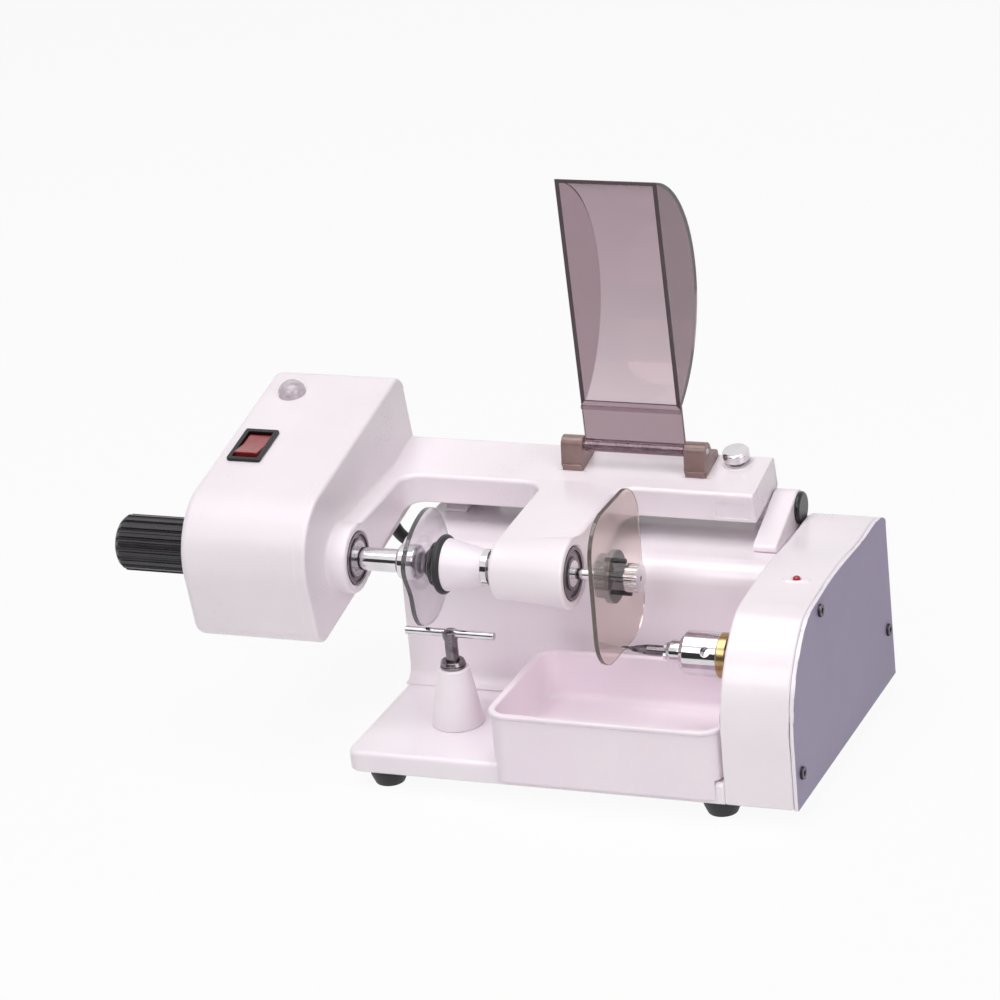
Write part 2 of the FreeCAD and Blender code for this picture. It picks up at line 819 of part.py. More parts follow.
def gearbox_cover():
    outer = prism_x(gearbox_outline(), gearbox_left, carriage_left)
    rim = edges_at(outer, lambda box: box.XMax < gearbox_left + seat_gap)
    outer = outer.makeFillet(gearbox_edge, rim)
    hollow = prism_x(gearbox_outline(gearbox_wall), gearbox_left + gearbox_wall, carriage_left)
    cover = outer.cut(hollow)
    boss_radius = bearing_radius + gearbox_wall
    boss = rod_x(boss_radius, gearbox_left + gearbox_wall / 2,
                 gearbox_left + gearbox_wall + bearing_width, spindle_y, spindle_rise)
    cover = cover.fuse(boss)
    cover = cover.cut(rod_x(bearing_radius + seat_gap, gearbox_left + gearbox_wall,
                            carriage_left, spindle_y, spindle_rise))
    cover = cover.cut(rod_x(sleeve_radius + body_gap, gearbox_left - cut_over,
                            gearbox_left + gearbox_wall, spindle_y, spindle_rise))
    roof = gearbox_top - gearbox_wall - cut_over
    above = gearbox_top + cut_over
    cover = cover.cut(rod_z(lamp_shank_radius + seat_gap, lamp_x, -lamp_reach, roof, above))
    half_width = switch_width / 2 - switch_lip + seat_gap
    half_length = switch_length / 2 - switch_lip + seat_gap
    cover = cover.cut(block(switch_x - half_width, switch_x + half_width,
                            -switch_reach - half_length, -switch_reach + half_length, roof, above))
    slot_middle = cable_x()
    slot = prism_z(rectangle(slot_middle - cable_slot_width / 2, slot_middle + cable_slot_width / 2,
                             -cable_slot_length / 2, cable_slot_length / 2, cable_slot_width / 2 - seat_gap),
                   gearbox_low - cut_over, gearbox_low + gearbox_wall + cut_over)
    return seat(cover.cut(slot).removeSplitter())


def ball_bearing(outer, inner, x_start, width, y, z):
    """Sealed bearing drawn as one ring with a groove between its races on both faces."""
    ring = ring_x(outer, inner, x_start, x_start + width, y, z)
    race = (outer - inner) / 4
    groove = width / 8
    for x in (x_start, x_start + width - groove):
        ring = ring.cut(ring_x(outer - race, inner + race, x, x + groove, y, z))
    return ring


def spindle_bearings():
    sleeve_bore = sleeve_radius + running_gap
    spindle_bore = spindle_radius + running_gap
    rings = [ball_bearing(bearing_radius, sleeve_bore, gearbox_left + gearbox_wall, bearing_width,
                          spindle_y, spindle_rise),
             ball_bearing(bearing_radius, sleeve_bore, left_boss_end - bearing_width, bearing_width,
                          spindle_y, spindle_rise),
             ball_bearing(small_bearing_radius, spindle_bore, middle_arm_left, small_bearing_width,
                          spindle_y, spindle_rise),
             ball_bearing(bearing_radius, spindle_bore, middle_arm_right - bearing_width, bearing_width,
                          spindle_y, spindle_rise)]
    return [seat(ring) for ring in rings]


def gear_wheel(teeth, bore, x_start, x_end, y, z, first_angle):
    """Spur gear of trapezoid teeth; one tooth points along first_angle, in degrees from +Y."""
    pitch_radius = gear_module * teeth / 2
    tip = pitch_radius + gear_module * tooth_tip_share
    root = pitch_radius - gear_module * tooth_root_share
    step = 2 * math.pi / teeth
    crest = step * tooth_crest_share - gear_backlash / pitch_radius / 2
    foot = step * tooth_foot_share
    points = []
    for tooth in range(teeth):
        middle = math.radians(first_angle) + tooth * step
        for radius, offset in ((root, -foot), (tip, -crest), (tip, crest), (root, foot)):
            angle = middle + offset
            points.append(Vector(x_start, y + radius * math.cos(angle), z + radius * math.sin(angle)))
    wire = Part.makePolygon(points + [points[0]])
    wheel = Part.Face(wire).extrude(Vector(x_end - x_start, 0, 0))
    return wheel.cut(rod_x(bore, x_start, x_end, y, z))


def gear_start():
    return carriage_left - gear_from_end_plate - gear_width


def pinion_place():
    distance = gear_module * (gear_teeth + pinion_teeth) / 2
    angle = math.radians(pinion_angle)
    return spindle_y + distance * math.cos(angle), spindle_rise + distance * math.sin(angle)


def spindle_gear():
    start = gear_start()
    return seat(gear_wheel(gear_teeth, sleeve_radius + seat_gap, start, start + gear_width,
                           spindle_y, spindle_rise, pinion_angle))


def drive_pinion():
    start = gear_start()
    y, z = pinion_place()
    facing = pinion_angle + 180 + 180 / pinion_teeth
    pinion = gear_wheel(pinion_teeth, pinion_shaft_radius - seat_gap, start, start + gear_width,
                        y, z, facing)
    shaft = rod_x(pinion_shaft_radius, start, carriage_left - drive_motor_length / 2, y, z)
    return seat(pinion.fuse(shaft).removeSplitter())


def gear_motor():
    y, z = pinion_place()
    start = carriage_left - drive_motor_length
    motor = turned_x([(start, drive_motor_radius - drive_motor_rim),
                      (start + drive_motor_rim, drive_motor_radius),
                      (carriage_left, drive_motor_radius)], y, z)
    return seat(motor.cut(rod_x(pinion_shaft_radius + running_gap, start, carriage_left - drive_motor_rim,
                                y, z)))


def drive_sleeve():
    sleeve = ring_x(sleeve_radius, clamp_shaft_radius + running_gap, gearbox_left + body_gap,
                    left_boss_end, spindle_y, spindle_rise)
    return seat(sleeve)


def clamp_shaft():
    shaft = rod_x(clamp_shaft_radius, gearbox_left - clamp_tail, hub_start, spindle_y, spindle_rise)
    return seat(shaft)


def pressure_hub():
    edge = (hub_end - hub_start) / 8
    hub = turned_x([(hub_start, hub_radius - edge), (hub_start + edge, hub_radius),
                    (hub_end - edge, hub_radius), (hub_end, hub_radius - edge)], spindle_y, spindle_rise)
    return seat(hub)


def pressure_pad():
    length = pad_end - hub_end
    pad = turned_x([(hub_end + length * along, pad_radius * out) for along, out in pad_outline_share],
                   spindle_y, spindle_rise)
    return seat(pad)


def clamp_knob():
    start = knob_end - knob_length
    nose = [(start + knob_radius * along, knob_radius * out) for along, out in knob_nose_outline_share]
    knob = turned_x(nose + [(knob_end - knob_collar_length, knob_radius), (knob_end, knob_radius)],
                    spindle_y, spindle_rise)
    for flute in range(knob_flutes):
        angle = 2 * math.pi * flute / knob_flutes
        y = spindle_y + knob_radius * math.cos(angle)
        z = spindle_rise + knob_radius * math.sin(angle)
        knob = knob.cut(rod_x(knob_flute_radius, start - cut_over, knob_end - knob_collar_length, y, z))
    bore = rod_x(clamp_shaft_radius + running_gap, gearbox_left - clamp_tail - clamp_travel - cut_over,
                 knob_end, spindle_y, spindle_rise)
    return seat(knob.cut(bore))


def demo_lens():
    """Meniscus lens: a spherical shell cut to the spectacle outline."""
    middle = (spindle_y, spindle_rise)
    points = []
    for degrees, share in lens_outline_share:
        angle = math.radians(degrees - 90 - carriage_tilt)
        reach = lens_reach * share
        points.append(Vector(lens_face - lens_block, middle[0] + reach * math.cos(angle),
                             middle[1] + reach * math.sin(angle)))
    curve = Part.BSplineCurve()
    curve.interpolate(points, PeriodicFlag=True)
    outline = Part.Face(Part.Wire([curve.toShape()])).extrude(Vector(lens_block + cut_over, 0, 0))
    centre = Vector(lens_face - lens_curve_radius, *middle)
    outer = Part.makeSphere(lens_curve_radius, centre)
    inner = Part.makeSphere(lens_curve_radius - lens_thick, centre)
    return seat(outline.common(outer).cut(inner))


def lens_cup():
    cup = turned_x([(cup_start, cup_radius), (cup_end, cup_radius * cup_back_share)],
                   spindle_y, spindle_rise)
    return seat(cup)


def lens_cone():
    neck = cone_flange_radius - ring_section
    cone = turned_x([(cup_end, neck), (cone_start, neck), (cone_start, cone_large), (cone_end, cone_small)],
                    spindle_y, spindle_rise)
    return seat(cone.cut(rod_x(spindle_radius - running_gap, cone_start, cone_end, spindle_y, spindle_rise)))


def lens_ring():
    middle = Vector(cone_start - ring_section, spindle_y, spindle_rise)
    hoop = Part.makeTorus(ring_radius, ring_section, middle, AXIS_X)
    seat_radius = cone_flange_radius - ring_section + seat_gap
    return seat(hoop.cut(rod_x(seat_radius, cup_end - cut_over, cone_start, spindle_y, spindle_rise)))


def lens_spindle():
    socket = spindle_radius - 2 * running_gap
    spindle = turned_x([(cone_start, socket), (cone_end, socket),
                        (spindle_collar_start, spindle_collar_radius),
                        (spindle_collar_end, spindle_collar_radius), (spindle_collar_end, spindle_radius),
                        (middle_arm_right, spindle_radius), (middle_arm_right, thin_radius),
                        (hub_plate_start, thin_radius), (hub_plate_start, stud_radius),
                        (stud_end, stud_radius)], spindle_y, spindle_rise)
    return seat(spindle)


def pin_places():
    return [(spindle_y, spindle_rise + side * pin_offset) for side in (-1, 1)]


def pattern_hub():
    rim_start = hub_plate_end - hub_rim_width
    hub = turned_x([(hub_plate_start, hub_plate_radius), (rim_start, hub_plate_radius),
                    (rim_start, hub_rim_radius), (hub_plate_end, hub_rim_radius)], spindle_y, spindle_rise)
    hub = hub.cut(rod_x(stud_radius + seat_gap, hub_plate_start, hub_plate_end, spindle_y, spindle_rise))
    pins = [rod_x(pin_radius, rim_start, pin_end, y, z) for y, z in pin_places()]
    return seat(hub.fuse(pins).removeSplitter())


def pattern_blank():
    half_width, half_height = blank_width / 2, blank_height / 2
    blank = prism_x(rectangle(spindle_y - half_width, spindle_y + half_width, spindle_rise - half_height,
                              spindle_rise + half_height, blank_corner), blank_start, blank_end)
    blank.rotate(Vector(0, spindle_y, spindle_rise), AXIS_X, -carriage_tilt)
    blank = blank.cut(rod_x(stud_radius + seat_gap, blank_start, blank_end, spindle_y, spindle_rise))
    for y, z in pin_places():
        blank = blank.cut(rod_x(pin_radius + seat_gap, blank_start, blank_end, y, z))
    return seat(blank)


def pattern_screw():
    screw = turned_x([(blank_end + seat_gap, screw_neck_radius), (screw_head_start, screw_neck_radius),
                      (screw_head_start, screw_head_radius), (screw_head_end, screw_head_radius)],
                     spindle_y, spindle_rise)
    for knurl in range(screw_knurls):
        angle = 2 * math.pi * knurl / screw_knurls
        y = spindle_y + screw_head_radius * math.cos(angle)
        z = spindle_rise + screw_head_radius * math.sin(angle)
        screw = screw.cut(rod_x(screw_knurl_depth, screw_head_start, screw_head_end, y, z))
    screw = screw.cut(rod_x(stud_radius + running_gap, blank_end, stud_end + running_gap,
                            spindle_y, spindle_rise))
    return seat(screw.cut(rod_x(screw_dimple, screw_head_end - screw_dimple, screw_head_end,
                                spindle_y, spindle_rise)))


def cutter_bit():
    """Tapered burr: star sections lofted with a twist, on a plain shank."""
    steps = 4
    sections = []
    for step in range(steps + 1):
        share = step / steps
        x = bit_tip + share * (bit_flute_end - bit_tip)
        radius = bit_tip_radius + share * (bit_radius - bit_tip_radius)
        points = []
        for corner in range(2 * bit_flutes):
            angle = math.pi * corner / bit_flutes + math.radians(bit_twist) * share
            reach = radius if corner % 2 == 0 else radius * bit_flute_depth_share
            points.append(Vector(x, cutter_y + reach * math.cos(angle),
                                 cutter_height + reach * math.sin(angle)))
        sections.append(Part.makePolygon(points + [points[0]]))
    flutes = Part.makeLoft(sections, True, True)
    shank = rod_x(bit_radius, bit_flute_end, chuck_body_start, cutter_y, cutter_height)
    return flutes.fuse(shank)


def cutter_chuck():
    chuck = turned_x([(chuck_nose_start, chuck_nose_radius * chuck_tip_share),
                      (chuck_nose_start + chuck_chamfer, chuck_nose_radius),
                      (chuck_body_start, chuck_nose_radius),
                      (chuck_body_start, chuck_body_radius - chuck_chamfer),
                      (chuck_body_start + chuck_chamfer, chuck_body_radius),
                      (chuck_body_end, chuck_body_radius)], cutter_y, cutter_height)
    for jaw in range(chuck_jaws):
        turn = 360 / chuck_jaws * jaw
        finger = block(chuck_nose_start - chuck_jaw_reach, chuck_body_start,
                       cutter_y - chuck_jaw_width / 2, cutter_y + chuck_jaw_width / 2,
                       cutter_height, cutter_height + chuck_nose_radius * chuck_jaw_share)
        finger.rotate(Vector(0, cutter_y, cutter_height), AXIS_X, turn)
        chuck = chuck.fuse(finger)
        key = rod_z(chuck_key_radius, chuck_body_end - chuck_key_from_end, cutter_y,
                    cutter_height + chuck_body_radius - chuck_key_depth, cutter_height + chuck_body_radius)
        key.rotate(Vector(0, cutter_y, cutter_height), AXIS_X, turn + 180 / chuck_jaws)
        chuck = chuck.cut(key)
    chuck = chuck.cut(rod_x(bit_radius + seat_gap, chuck_nose_start - cut_over, chuck_body_start,
                            cutter_y, cutter_height))
    return chuck.cut(rod_x(cutter_spindle_radius + seat_gap, chuck_body_end - cutter_spindle_grip,
                           chuck_body_end, cutter_y, cutter_height))


def brass_collar():
    return ring_x(collar_radius, cutter_spindle_radius + seat_gap, chuck_body_end, collar_end,
                  cutter_y, cutter_height)


def cutter_spindle():
    return rod_x(cutter_spindle_radius, chuck_body_end - cutter_spindle_grip, pulley_end,
                 cutter_y, cutter_height)


def quill_span():
    start = housing_left - quill_nose
    return start, start + quill_length


def cutter_quill():
    start, end = quill_span()
    flange_start = housing_left + housing_wall
    quill = rod_x(quill_radius, start, end, cutter_y, cutter_height)
    quill = quill.fuse(rod_x(quill_flange_radius, flange_start, flange_start + quill_flange_thick,
                             cutter_y, cutter_height))
    quill = quill.cut(rod_x(quill_bore_radius, start, end, cutter_y, cutter_height))
    for x in (start, end - quill_bearing_width):
        quill = quill.cut(rod_x(quill_bearing_radius + seat_gap, x, x + quill_bearing_width,
                                cutter_y, cutter_height))
    return quill.removeSplitter()


def quill_bearings():
    start, end = quill_span()
    return [ball_bearing(quill_bearing_radius, cutter_spindle_radius + running_gap, x, quill_bearing_width,
                         cutter_y, cutter_height) for x in (start, end - quill_bearing_width)]


def pulley(radius, bore, y, z):
    flange = radius + pulley_flange
    groove_start = pulley_start + pulley_flange_thick
    groove_end = pulley_end - pulley_flange_thick
    wheel = turned_x([(pulley_start, flange), (groove_start, flange), (groove_start, radius),
                      (groove_end, radius), (groove_end, flange), (pulley_end, flange)], y, z)
    return wheel.cut(rod_x(bore + seat_gap, pulley_start, pulley_end, y, z))


def spindle_pulley():
    return pulley(spindle_pulley_radius, cutter_spindle_radius, cutter_y, cutter_height)


def motor_pulley():
    return pulley(motor_pulley_radius, motor_shaft_radius, motor_y, motor_height)


def drive_belt():
    start = pulley_start + pulley_flange_thick + belt_side_gap
    end = pulley_end - pulley_flange_thick - belt_side_gap
    centres = Vector(cutter_y, cutter_height, 0), Vector(motor_y, motor_height, 0)
    inner = [radius + running_gap for radius in (spindle_pulley_radius, motor_pulley_radius)]
    outer = [radius + belt_thick for radius in inner]
    loop = belt_prism(centres[0], outer[0], centres[1], outer[1], start, end)
    return loop.cut(belt_prism(centres[0], inner[0], centres[1], inner[1], start, end))


def cutter_motor():
    start = housing_left - motor_length
    motor = turned_x([(start - motor_tail_length, motor_tail_radius), (start, motor_tail_radius),
                      (start, motor_radius - drive_motor_rim), (start + drive_motor_rim, motor_radius),
                      (housing_left, motor_radius), (housing_left, motor_tail_radius),
                      (housing_left + housing_wall, motor_tail_radius)], motor_y, motor_height)
    return motor.cut(rod_x(motor_shaft_radius + running_gap, start, housing_left + housing_wall,
                           motor_y, motor_height))


def motor_shaft():
    return rod_x(motor_shaft_radius, housing_left - motor_length + drive_motor_rim, pulley_end,
                 motor_y, motor_height)


def power_transformer():
    middle = (rear_face + back) / 2
    half_depth = transformer_depth / 2
    core = block(transformer_start, transformer_start + transformer_length, middle - half_depth,
                 middle + half_depth, plate_top, plate_top + transformer_height)
    coil_start = transformer_start + (transformer_length - transformer_coil_length) / 2
    rise = transformer_height / 5
    coil = prism_x(rectangle(middle - half_depth - transformer_coil_swell,
                             middle + half_depth + transformer_coil_swell, plate_top + rise,
                             plate_top + transformer_height - rise, transformer_coil_swell),
                   coil_start, coil_start + transformer_coil_length)
    return core.fuse(coil).removeSplitter()


def power_inlet():
    """Three-pin inlet let into the back of the rear cover."""
    def centred(width, height, y_start, y_end):
        return block(inlet_x - width / 2, inlet_x + width / 2, y_start, y_end,
                     inlet_middle_height - height / 2, inlet_middle_height + height / 2)

    body = centred(inlet_width, inlet_height, back - inlet_depth, back)
    rim = centred(inlet_width + 2 * inlet_rim, inlet_height + 2 * inlet_rim, back, back + inlet_rim_thick)
    socket = centred(inlet_width - 2 * inlet_wall, inlet_height - 2 * inlet_wall,
                     back - inlet_depth + inlet_wall, back + inlet_rim_thick)
    pins = [block(inlet_x + column * inlet_pin_pitch - inlet_pin_thick / 2,
                  inlet_x + column * inlet_pin_pitch + inlet_pin_thick / 2,
                  back - inlet_depth, back - inlet_depth + inlet_pin_length,
                  inlet_middle_height + row * inlet_pin_rise - inlet_pin_width / 2,
                  inlet_middle_height + row * inlet_pin_rise + inlet_pin_width / 2)
            for column, row in ((-1, -1), (0, 1), (1, -1))]
    return body.fuse(rim).cut(socket).fuse(pins).removeSplitter()


def cable_x():
    return left_end - cable_out


def cable_y():
    return hinge_y + cable_shift


def carriage_cable():
    """Lead from the rear cover up into the gearbox, bent once beside the hinge line."""
    y = cable_y()
    start = Vector(left_end + cable_inside, y, cable_height)
    turn_start = Vector(cable_x() + cable_bend, y, cable_height)
    turn_end = Vector(cable_x(), y, cable_height + cable_bend)
    slant = cable_bend * (1 - math.sqrt(0.5))
    turn_middle = Vector(cable_x() + slant, y, cable_height + slant)
    end = Vector(cable_x(), y, cable_height + cable_rise)
    path = Part.Wire([Part.makeLine(start, turn_start), Part.Arc(turn_start, turn_middle, turn_end).toShape(),
                      Part.makeLine(turn_end, end)])
    section = Part.Wire([Part.makeCircle(cable_radius, start, AXIS_X)])
    return path.makePipeShell([section], True, False)


def cable_gland():
    y = cable_y()
    gland = turned_x([(left_end - gland_length, gland_tip_radius),
                      (left_end - gland_length / 2, gland_radius),
                      (left_end, gland_radius), (left_end, gland_tip_radius),
                      (left_end + rear_wall, gland_tip_radius)], y, cable_height)
    return gland.cut(rod_x(cable_radius + seat_gap, left_end - gland_length, left_end + rear_wall,
                           y, cable_height))


def stylus_post():
    post = turned_z([(plate_top, post_low_radius), (plate_top + post_flange_height, post_low_radius),
                     (post_top, post_top_radius)], stylus_x, stylus_y)
    bottom = bar_z - stem_depth - stem_travel - bar_radius - cut_over
    return post.cut(rod_z(stem_radius + running_gap, stylus_x, stylus_y, bottom, post_top))


def stylus_lock_nut():
    nut = turned_z([(post_top + seat_gap, nut_radius), (post_top + nut_height / 3, nut_radius),
                    (post_top + nut_height / 3, nut_radius - nut_ring_depth),
                    (post_top + nut_height / 2, nut_radius - nut_ring_depth),
                    (post_top + nut_height / 2, nut_radius),
                    (nut_top, nut_radius - nut_ring_depth)], stylus_x, stylus_y)
    return nut.cut(rod_z(stem_radius + running_gap, stylus_x, stylus_y, post_top, nut_top))


def stylus_stem():
    stem = turned_z([(bar_z - bar_radius - stem_depth, stem_radius),
                     (bar_z - stem_head_radius, stem_radius), (bar_z - bar_radius, stem_head_radius),
                     (bar_z + bar_radius / 2, stem_head_radius), (bar_z + bar_radius, stem_head_radius / 2)],
                    stylus_x, stylus_y)
    return stem.cut(rod_x(bar_radius + seat_gap, stylus_x - 2 * stem_head_radius,
                          stylus_x + 2 * stem_head_radius, stylus_y, bar_z))


def stylus_bar():
    return rod_x(bar_radius, stylus_x - bar_length / 2, stylus_x + bar_length / 2, stylus_y, bar_z)


def drip_tray():
    back_y = rear_face - rear_flare - rear_toe - tray_back_gap
    floor_z = plate_top + body_gap
    face_y = front - tray_front_gap - tray_wall
    outer = prism_z(rectangle(tray_left, tray_right, face_y, back_y, tray_corner), floor_z, tray_rim)
    low_rim = edges_at(outer, lambda box: box.ZMax < floor_z + seat_gap and box.YMin > face_y + seat_gap)
    inner = prism_z(rectangle(tray_left + tray_wall, tray_right - tray_wall, face_y + tray_wall,
                              back_y - tray_wall, tray_corner - tray_wall),
                    floor_z + tray_wall, tray_rim + tray_floor_radius)
    floor_rim = edges_at(inner, lambda box: box.ZMax < floor_z + tray_wall + seat_gap)
    inner = inner.makeFillet(tray_floor_radius, floor_rim)
    outer = outer.makeFillet(tray_wall, low_rim)
    lip = prism_z(rectangle(tray_left - tray_lip, tray_right + tray_lip / 2, face_y - tray_lip,
                            back_y + tray_lip, tray_corner + tray_lip), tray_rim - tray_lip_height, tray_rim)
    apron = prism_z([(tray_left, face_y + tray_corner, 0), (tray_left, face_y, tray_corner),
                     (tray_right, face_y, tray_corner), (tray_right, face_y + tray_corner, 0)],
                    tray_front_low, floor_z + tray_corner)
    apron = apron.cut(block(tray_left - cut_over, tray_right + cut_over, face_y + tray_wall,
                            back_y, tray_front_low, floor_z + tray_corner))
    return outer.fuse([lip, apron]).cut(inner).removeSplitter()


def guard_frame(shape):
    """Put a piece drawn on the upright guard, pin axis at the origin, onto the carriage."""
    placed = shape.copy()
    placed.rotate(ORIGIN, AXIS_X, -guard_lean)
    placed.translate(Vector(0, -guard_pin_reach, guard_pin_rise))
    return seat(placed)


def guard_arc(inset, x):
    """Bulged back line of the guard as an arc over its length, drawn in by the inset."""
    low, high = guard_flap + inset, guard_flap + guard_length - inset
    return Part.Arc(Vector(x, inset, low), Vector(x, guard_bulge - inset, (low + high) / 2),
                    Vector(x, inset, high)).toShape(), Vector(x, inset, low), Vector(x, inset, high)


def splash_guard():
    curve, low, high = guard_arc(0, guard_left)
    chord = Part.makeLine(high, low)
    outer = Part.Face(Part.Wire([curve, chord])).extrude(Vector(guard_right - guard_left, 0, 0))
    inner_left = guard_left + guard_wall
    curve, low, high = guard_arc(guard_wall, inner_left)
    ahead = Vector(0, -guard_wall - cut_over, 0)
    loop = Part.Wire([curve, Part.makeLine(high, high + ahead), Part.makeLine(high + ahead, low + ahead),
                      Part.makeLine(low + ahead, low)])
    inner = Part.Face(loop).extrude(Vector(guard_right - guard_left - 2 * guard_wall, 0, 0))
    shell = outer.cut(inner)
    flap = block(guard_left, guard_right, 0, guard_flap_thick, 0, guard_flap + guard_wall)
    barrel = rod_x(guard_barrel_radius, guard_left, guard_right, 0, 0)
    rib = block(guard_left, guard_right, -guard_rib_height / 2, guard_rib_height,
                guard_flap - guard_rib_height, guard_flap)
    guard = shell.fuse([flap, barrel, rib])
    guard = guard.cut(rod_x(guard_pin_radius + running_gap, guard_left, guard_right, 0, 0))
    return guard_frame(guard.removeSplitter())


def bracket_spans():
    """Span in X of the left and the right guard bracket."""
    left = guard_left - bracket_gap
    right = guard_right + bracket_gap
    return [(left - guard_bracket_width, left), (right, right + guard_bracket_width)]


def bracket_screw_columns():
    return [(start + end) / 2 for start, end in bracket_spans()]


def guard_brackets():
    brackets = []
    pin = Vector(-guard_pin_reach, guard_pin_rise, 0)
    root = Vector(-guard_pin_reach, beam_top + bracket_root_radius / 2, 0)
    for x_start, x_end in bracket_spans():
        plate = prism_z(rectangle(x_start, x_end, -bracket_plate_front, bracket_plate_back,
                                  bracket_screw_radius), beam_top, beam_top + bracket_plate_thick)
        ear = belt_prism(root, bracket_root_radius, pin, bracket_ear_radius, x_start, x_end)
        ear = ear.common(block(x_start, x_end, -bracket_plate_front, bracket_plate_front, beam_top,
                               guard_pin_rise + 2 * bracket_ear_radius))
        bracket = plate.fuse(ear)
        bracket = bracket.cut(rod_x(guard_pin_radius + seat_gap, x_start, x_end,
                                    -guard_pin_reach, guard_pin_rise))
        bracket = bracket.cut(rod_z(bracket_screw_radius + seat_gap, (x_start + x_end) / 2,
                                    bracket_screw_y, beam_top, beam_top + bracket_plate_thick))
        brackets.append(seat(bracket.removeSplitter()))
    return brackets


def guard_bracket_screws():
    top = beam_top + bracket_plate_thick
    return [seat(turned_z([(beam_top - bracket_screw_depth, bracket_screw_radius),
                           (top, bracket_screw_radius), (top, bracket_screw_head),
                           (top + bracket_screw_head_height / 2, bracket_screw_head),
                           (top + bracket_screw_head_height, bracket_screw_head / 2)], x, bracket_screw_y))
            for x in bracket_screw_columns()]


def guard_pin():
    left, right = bracket_spans()
    return seat(rod_x(guard_pin_radius, left[0], right[1], -guard_pin_reach, guard_pin_rise))


def release_button():
    base = beam_top + button_base_height + button_travel + body_gap
    top = base + button_height
    edge = button_height / 6
    button = turned_z([(beam_top - beam_wall, button_stem_radius), (base, button_stem_radius),
                       (base, button_radius), (top - edge, button_radius), (top, button_radius - edge)],
                      button_x, -button_reach)
    return seat(button)


def carriage_lamp():
    dome = [(gearbox_top + lamp_dome * along, lamp_radius * out) for along, out in lamp_dome_share]
    lamp = turned_z([(gearbox_top - lamp_shank_length, lamp_shank_radius),
                     (gearbox_top, lamp_shank_radius)] + dome, lamp_x, -lamp_reach)
    return seat(lamp)


def switch_bezel():
    half_width, half_length = switch_width / 2, switch_length / 2
    flange = prism_z(rectangle(switch_x - half_width, switch_x + half_width, -switch_reach - half_length,
                               -switch_reach + half_length, switch_corner),
                     gearbox_top, gearbox_top + switch_bezel_height)
    body_width, body_length = half_width - switch_lip, half_length - switch_lip
    body = block(switch_x - body_width, switch_x + body_width, -switch_reach - body_length,
                 -switch_reach + body_length, gearbox_top - switch_body_depth, gearbox_top)
    well_width, well_length = half_width - switch_bezel_wall, half_length - switch_bezel_wall
    well = block(switch_x - well_width, switch_x + well_width, -switch_reach - well_length,
                 -switch_reach + well_length, gearbox_top - switch_body_depth + switch_lip,
                 gearbox_top + switch_bezel_height)
    bezel = flange.fuse(body).cut(well)
    axle = rod_x(switch_lip / 2, switch_x - body_width, switch_x + body_width, -switch_reach,
                 gearbox_top - rocker_pivot_drop)
    return seat(bezel.fuse(axle).removeSplitter())


def power_rocker():
    half_width = switch_width / 2 - switch_bezel_wall - rocker_gap
    half_length = switch_length / 2 - switch_bezel_wall - 2 * rocker_gap
    half_low, half_top = half_length * rocker_low_share, half_length * rocker_top_share
    pivot_z = gearbox_top - rocker_pivot_drop
    low = pivot_z - rocker_depth
    crown = pivot_z + rocker_proud
    dip = crown - rocker_proud / 4
    outline = [Vector(switch_x - half_width, -switch_reach + y, z) for y, z in (
        (-half_low, low), (half_low, low), (half_top, crown), (0, dip), (-half_top, crown))]
    wire = Part.makePolygon(outline + [outline[0]])
    rocker = Part.Face(wire).extrude(Vector(2 * half_width, 0, 0))
    rocker = rocker.cut(rod_x(switch_lip / 2 + running_gap, switch_x - half_width, switch_x + half_width,
                              -switch_reach, pivot_z))
    rocker.rotate(Vector(switch_x, -switch_reach, pivot_z), AXIS_X, -rocker_tilt)
    return seat(rocker)


def as_list(made):
    return made if isinstance(made, list) else [made]


pieces = {
    "base_plate": base_plate, "rubber_feet": rubber_feet, "foot_screws": foot_screws,
    "motor_housing": motor_housing, "side_plate": side_plate, "side_plate_screws": side_plate_screws,
    "status_light": status_light, "rear_cover": rear_cover, "hinge_shaft": hinge_shaft,
    "hinge_bracket_left": lambda: hinge_bracket(bracket_left_start, False),
    "hinge_bracket_right": lambda: hinge_bracket(bracket_right_start, True),
    "hinge_end_caps": hinge_end_caps, "carriage_frame": carriage_frame, "hinge_bushes": hinge_bushes,
    "gearbox_cover": gearbox_cover, "spindle_bearings": spindle_bearings, "spindle_gear": spindle_gear,
    "drive_pinion": drive_pinion, "gear_motor": gear_motor, "drive_sleeve": drive_sleeve,
    "clamp_shaft": clamp_shaft, "pressure_hub": pressure_hub, "pressure_pad": pressure_pad,
    "clamp_knob": clamp_knob, "demo_lens": demo_lens, "lens_cup": lens_cup, "lens_cone": lens_cone,
    "lens_ring": lens_ring, "lens_spindle": lens_spindle, "pattern_hub": pattern_hub,
    "pattern_blank": pattern_blank, "pattern_screw": pattern_screw, "cutter_bit": cutter_bit,
    "cutter_chuck": cutter_chuck, "brass_collar": brass_collar, "cutter_spindle": cutter_spindle,
    "cutter_quill": cutter_quill, "quill_bearings": quill_bearings, "spindle_pulley": spindle_pulley,
    "motor_pulley": motor_pulley, "drive_belt": drive_belt, "cutter_motor": cutter_motor,
    "motor_shaft": motor_shaft, "power_transformer": power_transformer, "power_inlet": power_inlet,
    "carriage_cable": carriage_cable, "cable_gland": cable_gland, "stylus_post": stylus_post,
    "stylus_lock_nut": stylus_lock_nut, "stylus_stem": stylus_stem, "stylus_bar": stylus_bar,
    "drip_tray": drip_tray, "splash_guard": splash_guard, "guard_brackets": guard_brackets,
    "guard_bracket_screws": guard_bracket_screws, "guard_pin": guard_pin,
    "release_button": release_button, "carriage_lamp": carriage_lamp,
    "switch_bezel": switch_bezel, "power_rocker": power_rocker}

